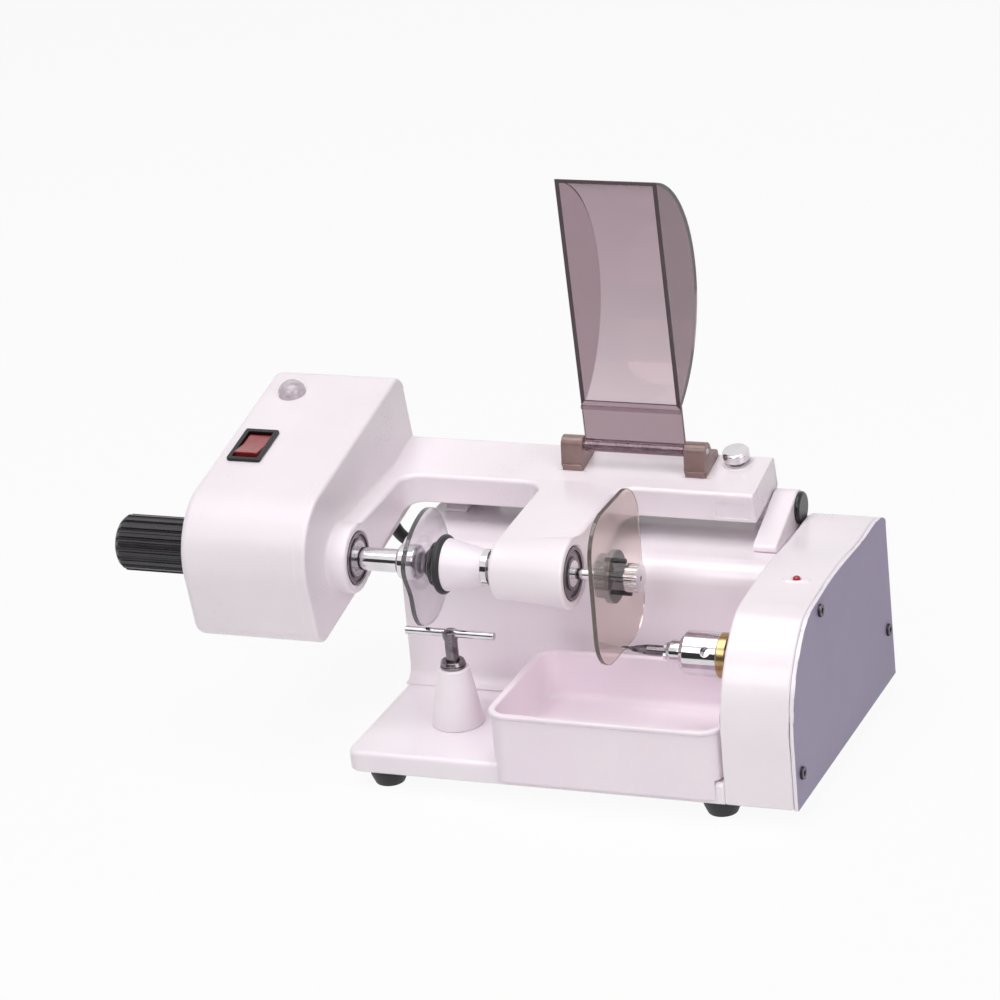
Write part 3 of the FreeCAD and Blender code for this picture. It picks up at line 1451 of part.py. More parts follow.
os.makedirs("parts", exist_ok=True)
for name, make in pieces.items():
    solids = [solid for shape in as_list(make()) for solid in shape.Solids]
    Part.makeCompound(solids).exportStep("parts/" + name + ".step")
    volume = sum(solid.Volume for solid in solids)
    valid = all(solid.isValid() for solid in solids)
    print(name, len(solids), round(volume, 1), "ok" if valid else "not valid")
print(len(pieces), "nodes")
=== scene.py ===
import math

import bmesh
import bpy
from mathutils import Matrix, Vector
from mathutils.bvhtree import BVHTree
from mathutils.geometry import delaunay_2d_cdt


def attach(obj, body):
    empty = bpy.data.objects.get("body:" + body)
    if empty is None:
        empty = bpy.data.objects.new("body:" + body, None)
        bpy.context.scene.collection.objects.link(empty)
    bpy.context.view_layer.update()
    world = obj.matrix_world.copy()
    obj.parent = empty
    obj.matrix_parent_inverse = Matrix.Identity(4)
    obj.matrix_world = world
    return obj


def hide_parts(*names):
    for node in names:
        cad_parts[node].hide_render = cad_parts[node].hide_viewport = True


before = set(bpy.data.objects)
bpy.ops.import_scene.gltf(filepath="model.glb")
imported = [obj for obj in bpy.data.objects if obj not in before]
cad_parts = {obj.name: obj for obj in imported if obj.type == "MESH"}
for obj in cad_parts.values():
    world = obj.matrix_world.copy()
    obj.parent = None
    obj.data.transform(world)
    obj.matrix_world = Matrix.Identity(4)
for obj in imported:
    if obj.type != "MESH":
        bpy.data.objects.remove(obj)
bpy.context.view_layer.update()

# Camera
# A long lens from the front right, a little above the carriage, so that the recess and the
# tray are both open to view. The picture is rolled a few degrees.
looked_at = Vector((-0.051958, 0.001495, 0.112558))
camera_distance = 1.95054
camera_turn = math.radians(23.298)
camera_rise = math.radians(21.626)
camera_roll = math.radians(5.2827)
film_width = 36.0
lens_length = 4.33453 * film_width
nearest_seen = 0.05

backward = Vector((math.sin(camera_turn) * math.cos(camera_rise),
                   -math.cos(camera_turn) * math.cos(camera_rise), math.sin(camera_rise)))
level = Vector((math.cos(camera_turn), math.sin(camera_turn), 0))
upright = backward.cross(level)
across = math.cos(camera_roll) * level - math.sin(camera_roll) * upright
upward = math.sin(camera_roll) * level + math.cos(camera_roll) * upright
photo_lens = bpy.data.cameras.new("photo lens")
photo_lens.sensor_width = film_width
photo_lens.lens = lens_length
photo_lens.clip_start = nearest_seen
camera = bpy.data.objects.new("photo camera", photo_lens)
bpy.context.scene.collection.objects.link(camera)
camera.matrix_world = (Matrix.Translation(looked_at + backward * camera_distance)
                       @ Matrix((across, upward, backward)).transposed().to_4x4())
bpy.context.scene.camera = camera

# Floor and studio light
# A white paper floor in a white tent, with one wide soft box overhead, one above the camera side
# and a weaker one at the right. A dark card stands low in front, for the chrome to mirror.
paper_white = 0.8
paper_roughness = 0.9
paper_shine = 0.1
paper_share = 0.93
paper_size = 9.0
tent_level = 0.1
soft_boxes = {
    "top_box": {"place": (-0.1, -0.25, 1.6), "size": 1.2, "power": 16.0},
    "front_box": {"place": (-0.2, -1.7, 1.25), "size": 1.0, "power": 11.5},
    "right_box": {"place": (1.5, -0.9, 0.9), "size": 0.9, "power": 7.0}}
card_width = 2.4
card_height = 0.6
card_distance = 1.05
card_black = (0.02, 0.02, 0.022, 1.0)

bpy.context.scene.view_settings.view_transform = "Standard"


def seen_rays(tree):
    """1 for a ray from the camera, a mirror or a glass, which see the white paper; 0 for light."""
    rays = tree.nodes.new("ShaderNodeLightPath")
    seen = rays.outputs["Is Camera Ray"]
    for kind in ("Is Glossy Ray", "Is Transmission Ray"):
        either = tree.nodes.new("ShaderNodeMath")
        either.operation = "MAXIMUM"
        tree.links.new(seen, either.inputs[0])
        tree.links.new(rays.outputs[kind], either.inputs[1])
        seen = either.outputs["Value"]
    return seen


def ranged(tree, value, low, high, first=0.0, last=1.0):
    """What runs from low to high, brought onto the run from first to last."""
    node = tree.nodes.new("ShaderNodeMapRange")
    for name, number in (("From Min", low), ("From Max", high), ("To Min", first), ("To Max", last)):
        node.inputs[name].default_value = number
    tree.links.new(value, node.inputs["Value"])
    return node.outputs["Result"]


tent = bpy.data.worlds.new("white tent")
tent.use_nodes = True
bpy.context.scene.world = tent
tent_tree = tent.node_tree
glow = tent_tree.nodes["Background"]
glow.inputs["Color"].default_value = (1.0, 1.0, 1.0, 1.0)
tent_tree.links.new(ranged(tent_tree, seen_rays(tent_tree), 0.0, 1.0, tent_level),
                    glow.inputs["Strength"])

paper = bpy.data.materials.new("white paper")
paper.use_nodes = True
paper_tree = paper.node_tree
paper_face = paper_tree.nodes["Principled BSDF"]
paper_face.inputs["Base Color"].default_value = (paper_white, paper_white, paper_white, 1.0)
paper_face.inputs["Roughness"].default_value = paper_roughness
paper_face.inputs["Specular IOR Level"].default_value = paper_shine
paper_glow = paper_tree.nodes.new("ShaderNodeEmission")
paper_mix = paper_tree.nodes.new("ShaderNodeMixShader")
paper_tree.links.new(ranged(paper_tree, seen_rays(paper_tree), 0.0, 1.0, 0.0, paper_share),
                     paper_mix.inputs["Fac"])
paper_tree.links.new(paper_face.outputs["BSDF"], paper_mix.inputs[1])
paper_tree.links.new(paper_glow.outputs["Emission"], paper_mix.inputs[2])
paper_tree.links.new(paper_mix.outputs["Shader"],
                     paper_tree.nodes["Material Output"].inputs["Surface"])


def flat_sheet(name, corners, material):
    """One flat face of the studio, which is no part of the object."""
    mesh = bpy.data.meshes.new(name)
    mesh.from_pydata(corners, [], [tuple(range(len(corners)))])
    mesh.materials.append(material)
    sheet = bpy.data.objects.new(name, mesh)
    bpy.context.scene.collection.objects.link(sheet)
    return sheet


half = paper_size / 2
flat_sheet("paper_floor", [(-half, -half, 0), (half, -half, 0), (half, half, 0), (-half, half, 0)],
           paper)

dark_card = bpy.data.materials.new("dark card")
dark_card.use_nodes = True
dark_card.node_tree.nodes["Principled BSDF"].inputs["Base Color"].default_value = card_black
card_half = card_width / 2
card = flat_sheet("dark_card", [(-card_half, -card_distance, 0.0),
                                (card_half, -card_distance, 0.0),
                                (card_half, -card_distance, card_height),
                                (-card_half, -card_distance, card_height)], dark_card)
card.visible_camera = False
card.visible_diffuse = False
card.visible_shadow = False

for name, box in soft_boxes.items():
    lamp = bpy.data.lights.new(name, "AREA")
    lamp.size = box["size"]
    lamp.energy = box["power"]
    stand = bpy.data.objects.new(name, lamp)
    stand.location = box["place"]
    stand.rotation_euler = (looked_at - stand.location).to_track_quat("-Z", "Y").to_euler()
    bpy.context.scene.collection.objects.link(stand)


# Rubber feet
# Four moulded black rubber feet, wide under the plate and narrow on the bench.
# Each is held by a steel screw up its middle.
def tone(red, green, blue):
    """A colour as read from a picture, 0 to 255, as the light it stands for."""
    parts = [value / 255 for value in (red, green, blue)]
    return [p / 12.92 if p <= 0.04045 else ((p + 0.055) / 1.055) ** 2.4 for p in parts] + [1.0]


noise_low = 0.3
noise_high = 0.7
edge_flat = 0.995
edge_round = 0.85


def noise(tree, where, spots, detail):
    """An even noise with so many spots in a metre."""
    node = tree.nodes.new("ShaderNodeTexNoise")
    node.inputs["Scale"].default_value = spots
    node.inputs["Detail"].default_value = detail
    tree.links.new(where, node.inputs["Vector"])
    return node.outputs["Fac"]


def finish(name, colour, shade, rough, cloud=40.0, grain=1500.0, depth=0.00001,
           stretch=(1.0, 1.0, 1.0), edge_rub_and_highlight=None, edge_rub_and_highlight_width=0.0006, even=(), smoke=None):
    """A surface with clouded colour, uneven gloss, a fine grain and lighter edges: wear and painted
    highlight.
    colour and shade are the two ends of its clouding, rough the two ends of its gloss,
    cloud and grain the number of spots in a metre, and depth the height of the grain.
    smoke is the colour and the density of what a clear plastic takes from the light in it."""
    made = bpy.data.materials.new(name)
    made.use_nodes = True
    tree = made.node_tree
    nodes, links = tree.nodes, tree.links
    shader = nodes["Principled BSDF"]
    for socket, value in even:
        shader.inputs[socket].default_value = value
    if smoke:
        inside = nodes.new("ShaderNodeVolumeAbsorption")
        inside.inputs["Color"].default_value, inside.inputs["Density"].default_value = smoke
        links.new(inside.outputs["Volume"], nodes["Material Output"].inputs["Volume"])
    place = nodes.new("ShaderNodeTexCoord")
    drawn_out = nodes.new("ShaderNodeMapping")
    drawn_out.inputs["Scale"].default_value = stretch
    links.new(place.outputs["Object"], drawn_out.inputs["Vector"])
    clouds = noise(tree, place.outputs["Object"], cloud, 5.0)
    fine = noise(tree, drawn_out.outputs["Vector"], grain, 3.0)
    tint = nodes.new("ShaderNodeMix")
    tint.data_type = "RGBA"
    tint.inputs["A"].default_value = shade
    tint.inputs["B"].default_value = colour
    links.new(ranged(tree, clouds, noise_low, noise_high), tint.inputs["Factor"])
    both = nodes.new("ShaderNodeMix")
    both.inputs["Factor"].default_value = 0.5
    links.new(clouds, both.inputs["A"])
    links.new(fine, both.inputs["B"])
    gloss = ranged(tree, both.outputs["Result"], noise_low, noise_high, *rough)
    links.new(gloss, shader.inputs["Roughness"])
    bump = nodes.new("ShaderNodeBump")
    bump.inputs["Distance"].default_value = depth
    links.new(fine, bump.inputs["Height"])
    links.new(bump.outputs["Normal"], shader.inputs["Normal"])
    if edge_rub_and_highlight is None:
        links.new(tint.outputs["Result"], shader.inputs["Base Color"])
        return made
    # Edges lighten in patches towards the edge tone: partly wear, partly a painted highlight along the
    # rounded edges.
    edge = nodes.new("ShaderNodeBevel")
    edge.samples = 4
    edge.inputs["Radius"].default_value = edge_rub_and_highlight_width
    facing = nodes.new("ShaderNodeNewGeometry")
    turn = nodes.new("ShaderNodeVectorMath")
    turn.operation = "DOT_PRODUCT"
    links.new(edge.outputs["Normal"], turn.inputs[0])
    links.new(facing.outputs["Normal"], turn.inputs[1])
    patchy = nodes.new("ShaderNodeMath")
    patchy.operation = "MULTIPLY"
    links.new(ranged(tree, turn.outputs["Value"], edge_flat, edge_round), patchy.inputs[0])
    links.new(fine, patchy.inputs[1])
    edges = nodes.new("ShaderNodeMix")
    edges.data_type = "RGBA"
    edges.inputs["B"].default_value = edge_rub_and_highlight
    links.new(patchy.outputs["Value"], edges.inputs["Factor"])
    links.new(tint.outputs["Result"], edges.inputs["A"])
    links.new(edges.outputs["Result"], shader.inputs["Base Color"])
    return made


sharp_turn = math.radians(32.0)
flat_turn = 0.0005
seam_reach = 0.00001
seam_share = 0.1
step_share = 0.4
step_slant = 0.8
speck = 1e-9
no_length = 1e-18
same_spot = 1e-8
turned_over = -0.1
thrown_off = 0.7
beside = 1.2
narrower = 0.4
tries = 5


def numbered(shape):
    """Give the faces that lie flat together one number. A curved face keeps number 0."""
    number = shape.faces.layers.int.new("flat")
    seen = set()
    for count, first in enumerate(shape.faces, 1):
        group, waiting = [], [first]
        while waiting:
            face = waiting.pop()
            if face in seen:
                continue
            seen.add(face)
            group.append(face)
            waiting += [other for line in face.edges if len(line.link_faces) == 2
                        and line.calc_face_angle(0.0) < flat_turn for other in line.link_faces]
        if len(group) > 1 or len(first.verts) > 4:
            for face in group:
                face[number] = count


def within(point, lines):
    """Whether a point lies inside closed rims, outside their holes."""
    crossed = 0
    for start, end in lines:
        if (start.y > point.y) != (end.y > point.y):
            share = (point.y - start.y) / (end.y - start.y)
            crossed += start.x + share * (end.x - start.x) > point.x
    return crossed % 2 == 1


def refilled(shape):
    """Fill each flat face anew inside its rims, where the rounding has crossed its old lines."""
    number = shape.faces.layers.int["flat"]
    groups = {}
    for face in shape.faces:
        if face[number] and face.material_index == 0:
            groups.setdefault(face[number], set()).add(face)
    for group in groups.values():
        rim = {line for face in group for line in face.edges
               if sum(other in group for other in line.link_faces) == 1}
        facing = sum((face.normal * face.calc_area() for face in group), Vector()).normalized()
        aside = facing.orthogonal().normalized()
        over = facing.cross(aside)
        corners = list({end for line in rim for end in line.verts})
        place = {corner: index for index, corner in enumerate(corners)}
        points = [Vector((corner.co.dot(aside), corner.co.dot(over))) for corner in corners]
        lines = [(place[line.verts[0]], place[line.verts[1]]) for line in rim]
        drawn = [(points[start], points[end]) for start, end in lines]
        spots, _, patches, sources, *_ = delaunay_2d_cdt(points, lines, [], 0, same_spot)
        height = corners[0].co.dot(facing)
        ends = [corners[source[0]] if source else
                shape.verts.new(spot.x * aside + spot.y * over + height * facing)
                for spot, source in zip(spots, sources)]
        kept = [patch for patch in patches
                if within(sum((spots[spot] for spot in patch), Vector((0, 0))) / 3, drawn)]
        bmesh.ops.delete(shape, geom=list(group), context="FACES_ONLY")
        for patch in kept:
            shape.faces.new([ends[spot] for spot in patch]).smooth = True
    bmesh.ops.delete(shape, geom=[line for line in shape.edges if not line.link_faces],
                     context="EDGES")


def apart(point, line):
    """The distance from a point to a straight edge."""
    start, end = (corner.co for corner in line.verts)
    along = end - start
    share = (point - start).dot(along) / max(along.length_squared, no_length)
    return (start + max(0.0, min(1.0, share)) * along - point).length


def spoiled(shape, surface, edge):
    """Middles of faces that the rounding has turned over or thrown off the old surface."""
    number = shape.faces.layers.int["flat"]
    found = {}
    for face in shape.faces:
        if (face[number] and face.material_index == 0) or face.calc_area() < speck:
            continue
        middle = face.calc_center_median()
        _, facing, _, distance = surface.find_nearest(middle)
        if face.normal.dot(facing) < turned_over or distance > thrown_off * edge:
            found[tuple(round(value / edge) for value in middle)] = middle
    return list(found.values())


def rounded(piece, edge, seam=None):
    """Smooth curved faces, and edges rounded over by so much, or by less beside a small step.
    Edges beside a face that this spoils are tried again with less, and the best try is kept.
    seam is a place on the X axis where the piece meets another and its edges stay crisp."""
    mesh = piece.data
    for stale in ("custom_normal", "sharp_edge", "sharp_face"):
        if stale in mesh.attributes:
            mesh.attributes.remove(mesh.attributes[stale])
    shape = bmesh.new()
    shape.from_mesh(mesh)
    numbered(shape)
    surface = BVHTree.FromBMesh(shape)
    share = shape.edges.layers.float.new("bevel_weight_edge")
    lines = [line for line in shape.edges if len(line.link_faces) == 2
             and line.calc_face_angle(0.0) >= sharp_turn]
    for line in lines:
        along = (line.verts[1].co - line.verts[0].co).normalized()
        steps = [other.other_vert(end).co - end.co for end in line.verts for other in end.link_edges
                 if other is not line and other.calc_face_angle(0.0) > flat_turn]
        room = [step.length for step in steps if abs(step.normalized().dot(along)) < step_slant]
        line[share] = min([edge] + [step_share * length for length in room]) / edge
        if seam is not None and all(abs(end.co.x - seam) < seam_reach for end in line.verts):
            line[share] = min(line[share], seam_share)
    mesh.materials.append(mesh.materials[0])
    rounding = piece.modifiers.new("rounded edges", "BEVEL")
    rounding.width = edge
    rounding.segments = 3
    rounding.limit_method = "WEIGHT"
    rounding.use_clamp_overlap = False
    rounding.loop_slide = False
    rounding.material = 1
    best, fewest = None, None
    for _ in range(tries):
        shape.to_mesh(mesh)
        mesh.shade_smooth()
        mesh.set_sharp_from_angle(angle=sharp_turn)
        mesh.update()
        made = bmesh.new()
        made.from_mesh(piece.evaluated_get(bpy.context.evaluated_depsgraph_get()).data)
        faults = spoiled(made, surface, edge)
        if best is None or len(faults) < fewest:
            best, fewest = made, len(faults)
        if not faults:
            break
        for line in lines:
            if any(apart(middle, line) < beside * edge for middle in faults):
                line[share] *= narrower
    shape.free()
    refilled(best)
    for face in best.faces:
        face.material_index = 0
    best.to_mesh(mesh)
    best.free()
    mesh.materials.pop()
    piece.modifiers.remove(rounding)
    evened = piece.modifiers.new("even shading", "WEIGHTED_NORMAL")
    evened.keep_sharp = True


def added(name, mesh, body, material):
    """A new piece in the scene, on its body and with its finish."""
    piece = bpy.data.objects.new(name, mesh)
    bpy.context.scene.collection.objects.link(piece)
    mesh.materials.clear()
    mesh.materials.append(material)
    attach(piece, body)
    return piece


def turned(name, outline, middle, axis, body, material, edge=0.0002, steps=96):
    """A piece turned on a lathe. outline holds (place along the axis, radius) from one end on;
    a radius of nothing closes an end, and an outline that comes back to its start is a ring."""
    middle, along = Vector(middle), Vector(axis).normalized()
    aside = along.orthogonal().normalized()
    over = along.cross(aside)
    shape = bmesh.new()
    rings = []
    for place, radius in outline:
        centre = middle + along * place
        if radius == 0:
            rings.append([shape.verts.new(centre)])
            continue
        angles = [2 * math.pi * step / steps for step in range(steps)]
        rings.append([shape.verts.new(centre + radius * (math.cos(a) * aside + math.sin(a) * over))
                      for a in angles])
    pairs = list(zip(rings, rings[1:]))
    if len(rings[0]) > 1:
        pairs.append((rings[-1], rings[0]))
    for first, second in pairs:
        for step in range(steps):
            corners = [first[step % len(first)], first[(step + 1) % len(first)],
                       second[(step + 1) % len(second)], second[step % len(second)]]
            shape.faces.new(list(dict.fromkeys(corners)))
    bmesh.ops.recalc_face_normals(shape, faces=shape.faces)
    mesh = bpy.data.meshes.new(name)
    shape.to_mesh(mesh)
    shape.free()
    piece = added(name, mesh, body, material)
    rounded(piece, edge)
    return piece


foot_height = 0.008
foot_radius = 0.009
tread_radius = 0.0056
recess_radius = 0.004
recess_depth = 0.0034
screw_radius = 0.0022
foot_side = [(0.0002, 0.0066), (0.0016, 0.0072), (0.0042, 0.0083), (0.0068, 0.0089)]
foot_from_left = 0.0165
foot_from_right = 0.03618
foot_from_side = 0.01
plate = [corner.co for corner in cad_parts["base_plate"].data.vertices]
feet_across = [min(corner.x for corner in plate) + foot_from_left,
               max(corner.x for corner in plate) - foot_from_right]
feet_deep = [min(corner.y for corner in plate) + foot_from_side,
             max(corner.y for corner in plate) - foot_from_side]
foot_places = [(x, y) for y in feet_deep for x in feet_across]
foot_outline = [(0.0, tread_radius), *foot_side, (foot_height, foot_radius),
                (foot_height, screw_radius), (recess_depth, screw_radius),
                (recess_depth, recess_radius), (0.0, recess_radius)]
black_rubber = finish("black rubber", tone(46, 44, 48), tone(30, 29, 32), rough=(0.45, 0.62),
                      grain=2600, depth=0.00003, edge_rub_and_highlight=tone(92, 88, 94),
                      even=[("Sheen Weight", 0.15), ("Specular IOR Level", 0.4)])
for number, (x, y) in enumerate(foot_places):
    foot = turned(f"rubber_foot_{number + 1}", foot_outline, (x, y, 0), (0, 0, 1), "base",
                  black_rubber, edge=0.0003)
    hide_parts("rubber_feet")

turned_steel = finish("turned steel", tone(196, 194, 196), tone(168, 166, 170), rough=(0.2, 0.34),
                      cloud=120, grain=500, depth=0.000004, stretch=(12, 1, 1),
                      edge_rub_and_highlight=tone(226, 224, 226), even=[("Metallic", 1.0)])


def dressed(node, material):
    """A piece of the model that keeps its own shape and gets its finish."""
    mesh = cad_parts[node].data
    mesh.materials.clear()
    mesh.materials.append(material)


dressed("foot_screws", turned_steel)


# Base plate
# A thick cast aluminium plate under the whole machine, with a rounded front edge.
# It is sprayed with the same glossy pinkish white enamel as the castings.
same_place = 1e-6
same_plane = math.radians(0.05)


def softened(node, name, body, material, edge, seam=None):
    """The solid of a model piece with its edges rounded over, in its place."""
    shape = bmesh.new()
    shape.from_mesh(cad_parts[node].data)
    bmesh.ops.remove_doubles(shape, verts=shape.verts, dist=same_place)
    bmesh.ops.dissolve_limit(shape, angle_limit=same_plane, verts=shape.verts,
                             edges=shape.edges)
    mesh = bpy.data.meshes.new(name)
    shape.to_mesh(mesh)
    shape.free()
    piece = added(name, mesh, body, material)
    rounded(piece, edge, seam)
    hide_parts(node)
    return piece


def enamel(name, colour, shade):
    """Sprayed gloss enamel: a faint orange peel, a clear top, and edges a little lighter: thin paint and a
    painted highlight.
    """
    return finish(name, colour, shade, rough=(0.26, 0.36), cloud=22, grain=900, depth=0.0000015,
                  edge_rub_and_highlight=tone(255, 250, 252), edge_rub_and_highlight_width=0.001,
                  even=[("Coat Weight", 0.35), ("Coat Roughness", 0.12)])


plate_enamel = enamel("plate enamel", tone(251, 243, 248), tone(246, 237, 244))
softened("base_plate", "base_casting", "base", plate_enamel, edge=0.0008)

# Rear cover, cable gland and power inlet
# One bent steel sheet closes the back of the machine and carries the hinge; it is enamelled.
# A moulded mains inlet sits in its back, and a rubber gland lets the carriage lead out.
white_enamel = enamel("white enamel", tone(251, 242, 247), tone(246, 236, 243))
softened("rear_cover", "rear_sheet", "base", white_enamel, edge=0.0008)
black_plastic = finish("black plastic", tone(46, 44, 48), tone(36, 34, 38), rough=(0.3, 0.45),
                       grain=3200, depth=0.000008, edge_rub_and_highlight=tone(104, 100, 106),
                       even=[("Specular IOR Level", 0.55)])
softened("power_inlet", "inlet_socket", "base", black_plastic, edge=0.0003)
softened("cable_gland", "lead_gland", "base", black_rubber, edge=0.0003)
lead_jacket = finish("lead jacket", tone(40, 38, 42), tone(28, 27, 30), rough=(0.38, 0.5), grain=2200,
                     depth=0.00002, edge_rub_and_highlight=tone(80, 78, 84), even=[("Sheen Weight", 0.1)])
softened("carriage_cable", "carriage_lead", "base", lead_jacket, edge=0.0002)

# Motor housing, its side plate and its light
# The casting at the right that hides the cutter motor, enamelled like the plate.
# A powder-coated steel plate closes its side with three dark socket screws. The plate's thin
# edge is enamelled like the casting.
def pared(piece, is_kept):
    """Leave a piece only the faces that it keeps."""
    shape = bmesh.new()
    shape.from_mesh(piece.data)
    bmesh.ops.delete(shape, geom=[face for face in shape.faces if not is_kept(face)],
                     context="FACES")
    shape.to_mesh(piece.data)
    shape.free()


outward = 0.6
softened("motor_housing", "motor_casting", "base", white_enamel, edge=0.0012)
violet_powder = finish("violet powder coat", tone(173, 161, 190), tone(164, 153, 182), rough=(0.46, 0.6),
                       cloud=30, grain=2400, depth=0.00003, edge_rub_and_highlight=tone(178, 170, 186),
                       even=[("Coat Weight", 0.1), ("Coat Roughness", 0.4)])
plate_rim = softened("side_plate", "side_rim", "base", white_enamel, edge=0.0004)
plate_face = added("side_sheet", plate_rim.data.copy(), "base", violet_powder)
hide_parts("side_plate")
pared(plate_rim, lambda face: abs(face.normal.x) < outward)
pared(plate_face, lambda face: abs(face.normal.x) >= outward)
blued_steel = finish("blued steel", tone(96, 88, 98), tone(62, 57, 66), rough=(0.28, 0.42), cloud=300,
                     grain=2600, depth=0.00001, edge_rub_and_highlight=tone(176, 170, 178),
                     even=[("Metallic", 1.0)])
softened("side_plate_screws", "side_screws", "base", blued_steel, edge=0.0002)
red_lens = finish("red light lens", tone(190, 44, 58), tone(150, 28, 42), rough=(0.12, 0.2), cloud=600,
                  grain=1800, depth=0.000004,
                  even=[("Transmission Weight", 0.25), ("Emission Strength", 0.08),
                        ("Emission Color", tone(224, 40, 56))])
softened("status_light", "red_light", "base", red_lens, edge=0.0003)

# Hinge of the carriage
# Two enamelled brackets stand on the rear cover and hold a ground steel shaft.
# A black plastic cap is pressed on each end of it.
softened("hinge_bracket_left", "left_bracket", "base", white_enamel, edge=0.0007)
softened("hinge_bracket_right", "right_bracket", "base", white_enamel, edge=0.0007)
softened("hinge_shaft", "hinge_rod", "base", turned_steel, edge=0.0003)
jet_plastic = finish("jet black plastic", tone(26, 22, 25), tone(17, 15, 18), rough=(0.2, 0.34), cloud=90,
                     grain=2600, depth=0.000005, edge_rub_and_highlight=tone(70, 64, 68),
                     even=[("Specular IOR Level", 0.4)])
softened("hinge_end_caps", "hinge_caps", "base", jet_plastic, edge=0.0004)

# Cutter motor and belt drive
# Inside the housing: a can motor, a small pulley pair with a flat belt, the cutter's quill
# with its bearings, and beside them the transformer.
motor_zinc = finish("zinc plated steel", tone(188, 190, 186), tone(164, 166, 166), rough=(0.3, 0.45),
                    cloud=180, grain=900, depth=0.00001, even=[("Metallic", 1.0)])
belt_rubber = finish("belt rubber", tone(44, 42, 44), tone(30, 29, 31), rough=(0.5, 0.65), grain=2800,
                     depth=0.00003)
for node in ("cutter_motor", "power_transformer", "cutter_quill", "gear_motor"):
    dressed(node, motor_zinc)
for node in ("motor_shaft", "motor_pulley", "spindle_pulley", "quill_bearings", "cutter_spindle"):
    dressed(node, turned_steel)
dressed("drive_belt", belt_rubber)

# Cutter
# A chromed drill chuck on a brass collar grips a fluted grinding bit.
# The chuck is turned and polished, and a key hole goes into its side.
chrome = finish("chrome plate", tone(226, 222, 225), tone(208, 204, 208), rough=(0.05, 0.11), cloud=90,
                grain=1800, depth=0.000001, even=[("Metallic", 1.0)])
softened("cutter_chuck", "drill_chuck", "cutter", chrome, edge=0.00025)
brass = finish("turned brass", tone(198, 170, 124), tone(164, 136, 94), rough=(0.2, 0.32), cloud=240,
               grain=600, depth=0.000004, stretch=(14, 1, 1), edge_rub_and_highlight=tone(228, 206, 164),
               even=[("Metallic", 1.0)])
softened("brass_collar", "collar", "cutter", brass, edge=0.0003)
dark_steel = finish("dark steel", tone(142, 134, 140), tone(102, 95, 101), rough=(0.16, 0.28), cloud=260,
                    grain=1200, depth=0.000004, stretch=(10, 1, 1), edge_rub_and_highlight=tone(206, 200, 204),
                    even=[("Metallic", 1.0)])
softened("cutter_bit", "grinding_bit", "cutter", dark_steel, edge=0.0001)

# Stylus
# The finger that follows the pattern: a tapered enamelled post, a steel lock nut,
# a stem that rises and falls, and a polished cross bar on top.
softened("stylus_post", "post", "base", white_enamel, edge=0.0006)
softened("stylus_lock_nut", "lock_nut", "stylus_nut", dark_steel, edge=0.0003)
softened("stylus_stem", "stem", "stylus", dark_steel, edge=0.00015)
softened("stylus_bar", "cross_bar", "stylus", chrome, edge=0.0003)

# Drip tray
# A moulded white plastic drawer that catches the coolant under the cutter.
# It lies loose on the plate and slides out to the front.
tray_plastic = finish("tray plastic", tone(251, 239, 247), tone(248, 234, 244), rough=(0.34, 0.46),
                      cloud=18, grain=1400, depth=0.000012, edge_rub_and_highlight=tone(252, 240, 248), edge_rub_and_highlight_width=0.001,
                      even=[("Subsurface Weight", 0.12), ("Subsurface Scale", 0.002)])
softened("drip_tray", "tray", "tray", tray_plastic, edge=0.0007)

# Carriage
# The swinging aluminium casting: a beam along the hinge, two arms forward and their bosses.
# It is enamelled, and brass bushes and ball bearings are pressed into it.
gearbox_joint = max(corner.co.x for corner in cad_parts["gearbox_cover"].data.vertices)
softened("carriage_frame", "carriage_casting", "carriage", white_enamel, edge=0.0014,
         seam=gearbox_joint)
dressed("hinge_bushes", brass)
bearing_steel = finish("bearing steel", tone(150, 143, 148), tone(112, 106, 112), rough=(0.3, 0.45),
                       cloud=200, grain=1600, depth=0.000006, edge_rub_and_highlight=tone(196, 190, 194),
                       even=[("Metallic", 1.0)])
dressed("spindle_bearings", bearing_steel)

# Gearbox
# An enamelled cast cover on the carriage's left end, joined to it without a step.
# Behind it a small motor turns the clamp's sleeve by a pair of steel gears.
softened("gearbox_cover", "gearbox_shell", "carriage", white_enamel, edge=0.0016,
         seam=gearbox_joint)
for node in ("spindle_gear", "drive_pinion", "drive_sleeve"):
    dressed(node, turned_steel)

# Lamp and switch
# A clear moulded lamp and a red rocker switch in a black frame.
# Both are pressed into the gearbox's sloping top.
lamp_glass = finish("lamp plastic", tone(234, 222, 230), tone(196, 180, 190), rough=(0.08, 0.16),
                    cloud=420, grain=1200, depth=0.00001, edge_rub_and_highlight=tone(250, 244, 248),
                    even=[("Transmission Weight", 0.25), ("IOR", 1.49), ("Coat Weight", 0.5)])
softened("carriage_lamp", "signal_lamp", "carriage", lamp_glass, edge=0.0004)
softened("switch_bezel", "switch_frame", "carriage", jet_plastic, edge=0.0003)
rocker_red = finish("rocker red", tone(176, 58, 60), tone(146, 44, 48), rough=(0.16, 0.28), cloud=160,
                    grain=1600, depth=0.000006, edge_rub_and_highlight=tone(206, 120, 116),
                    even=[("Transmission Weight", 0.15), ("Coat Weight", 0.3)])
softened("power_rocker", "rocker", "rocker", rocker_red, edge=0.0005)

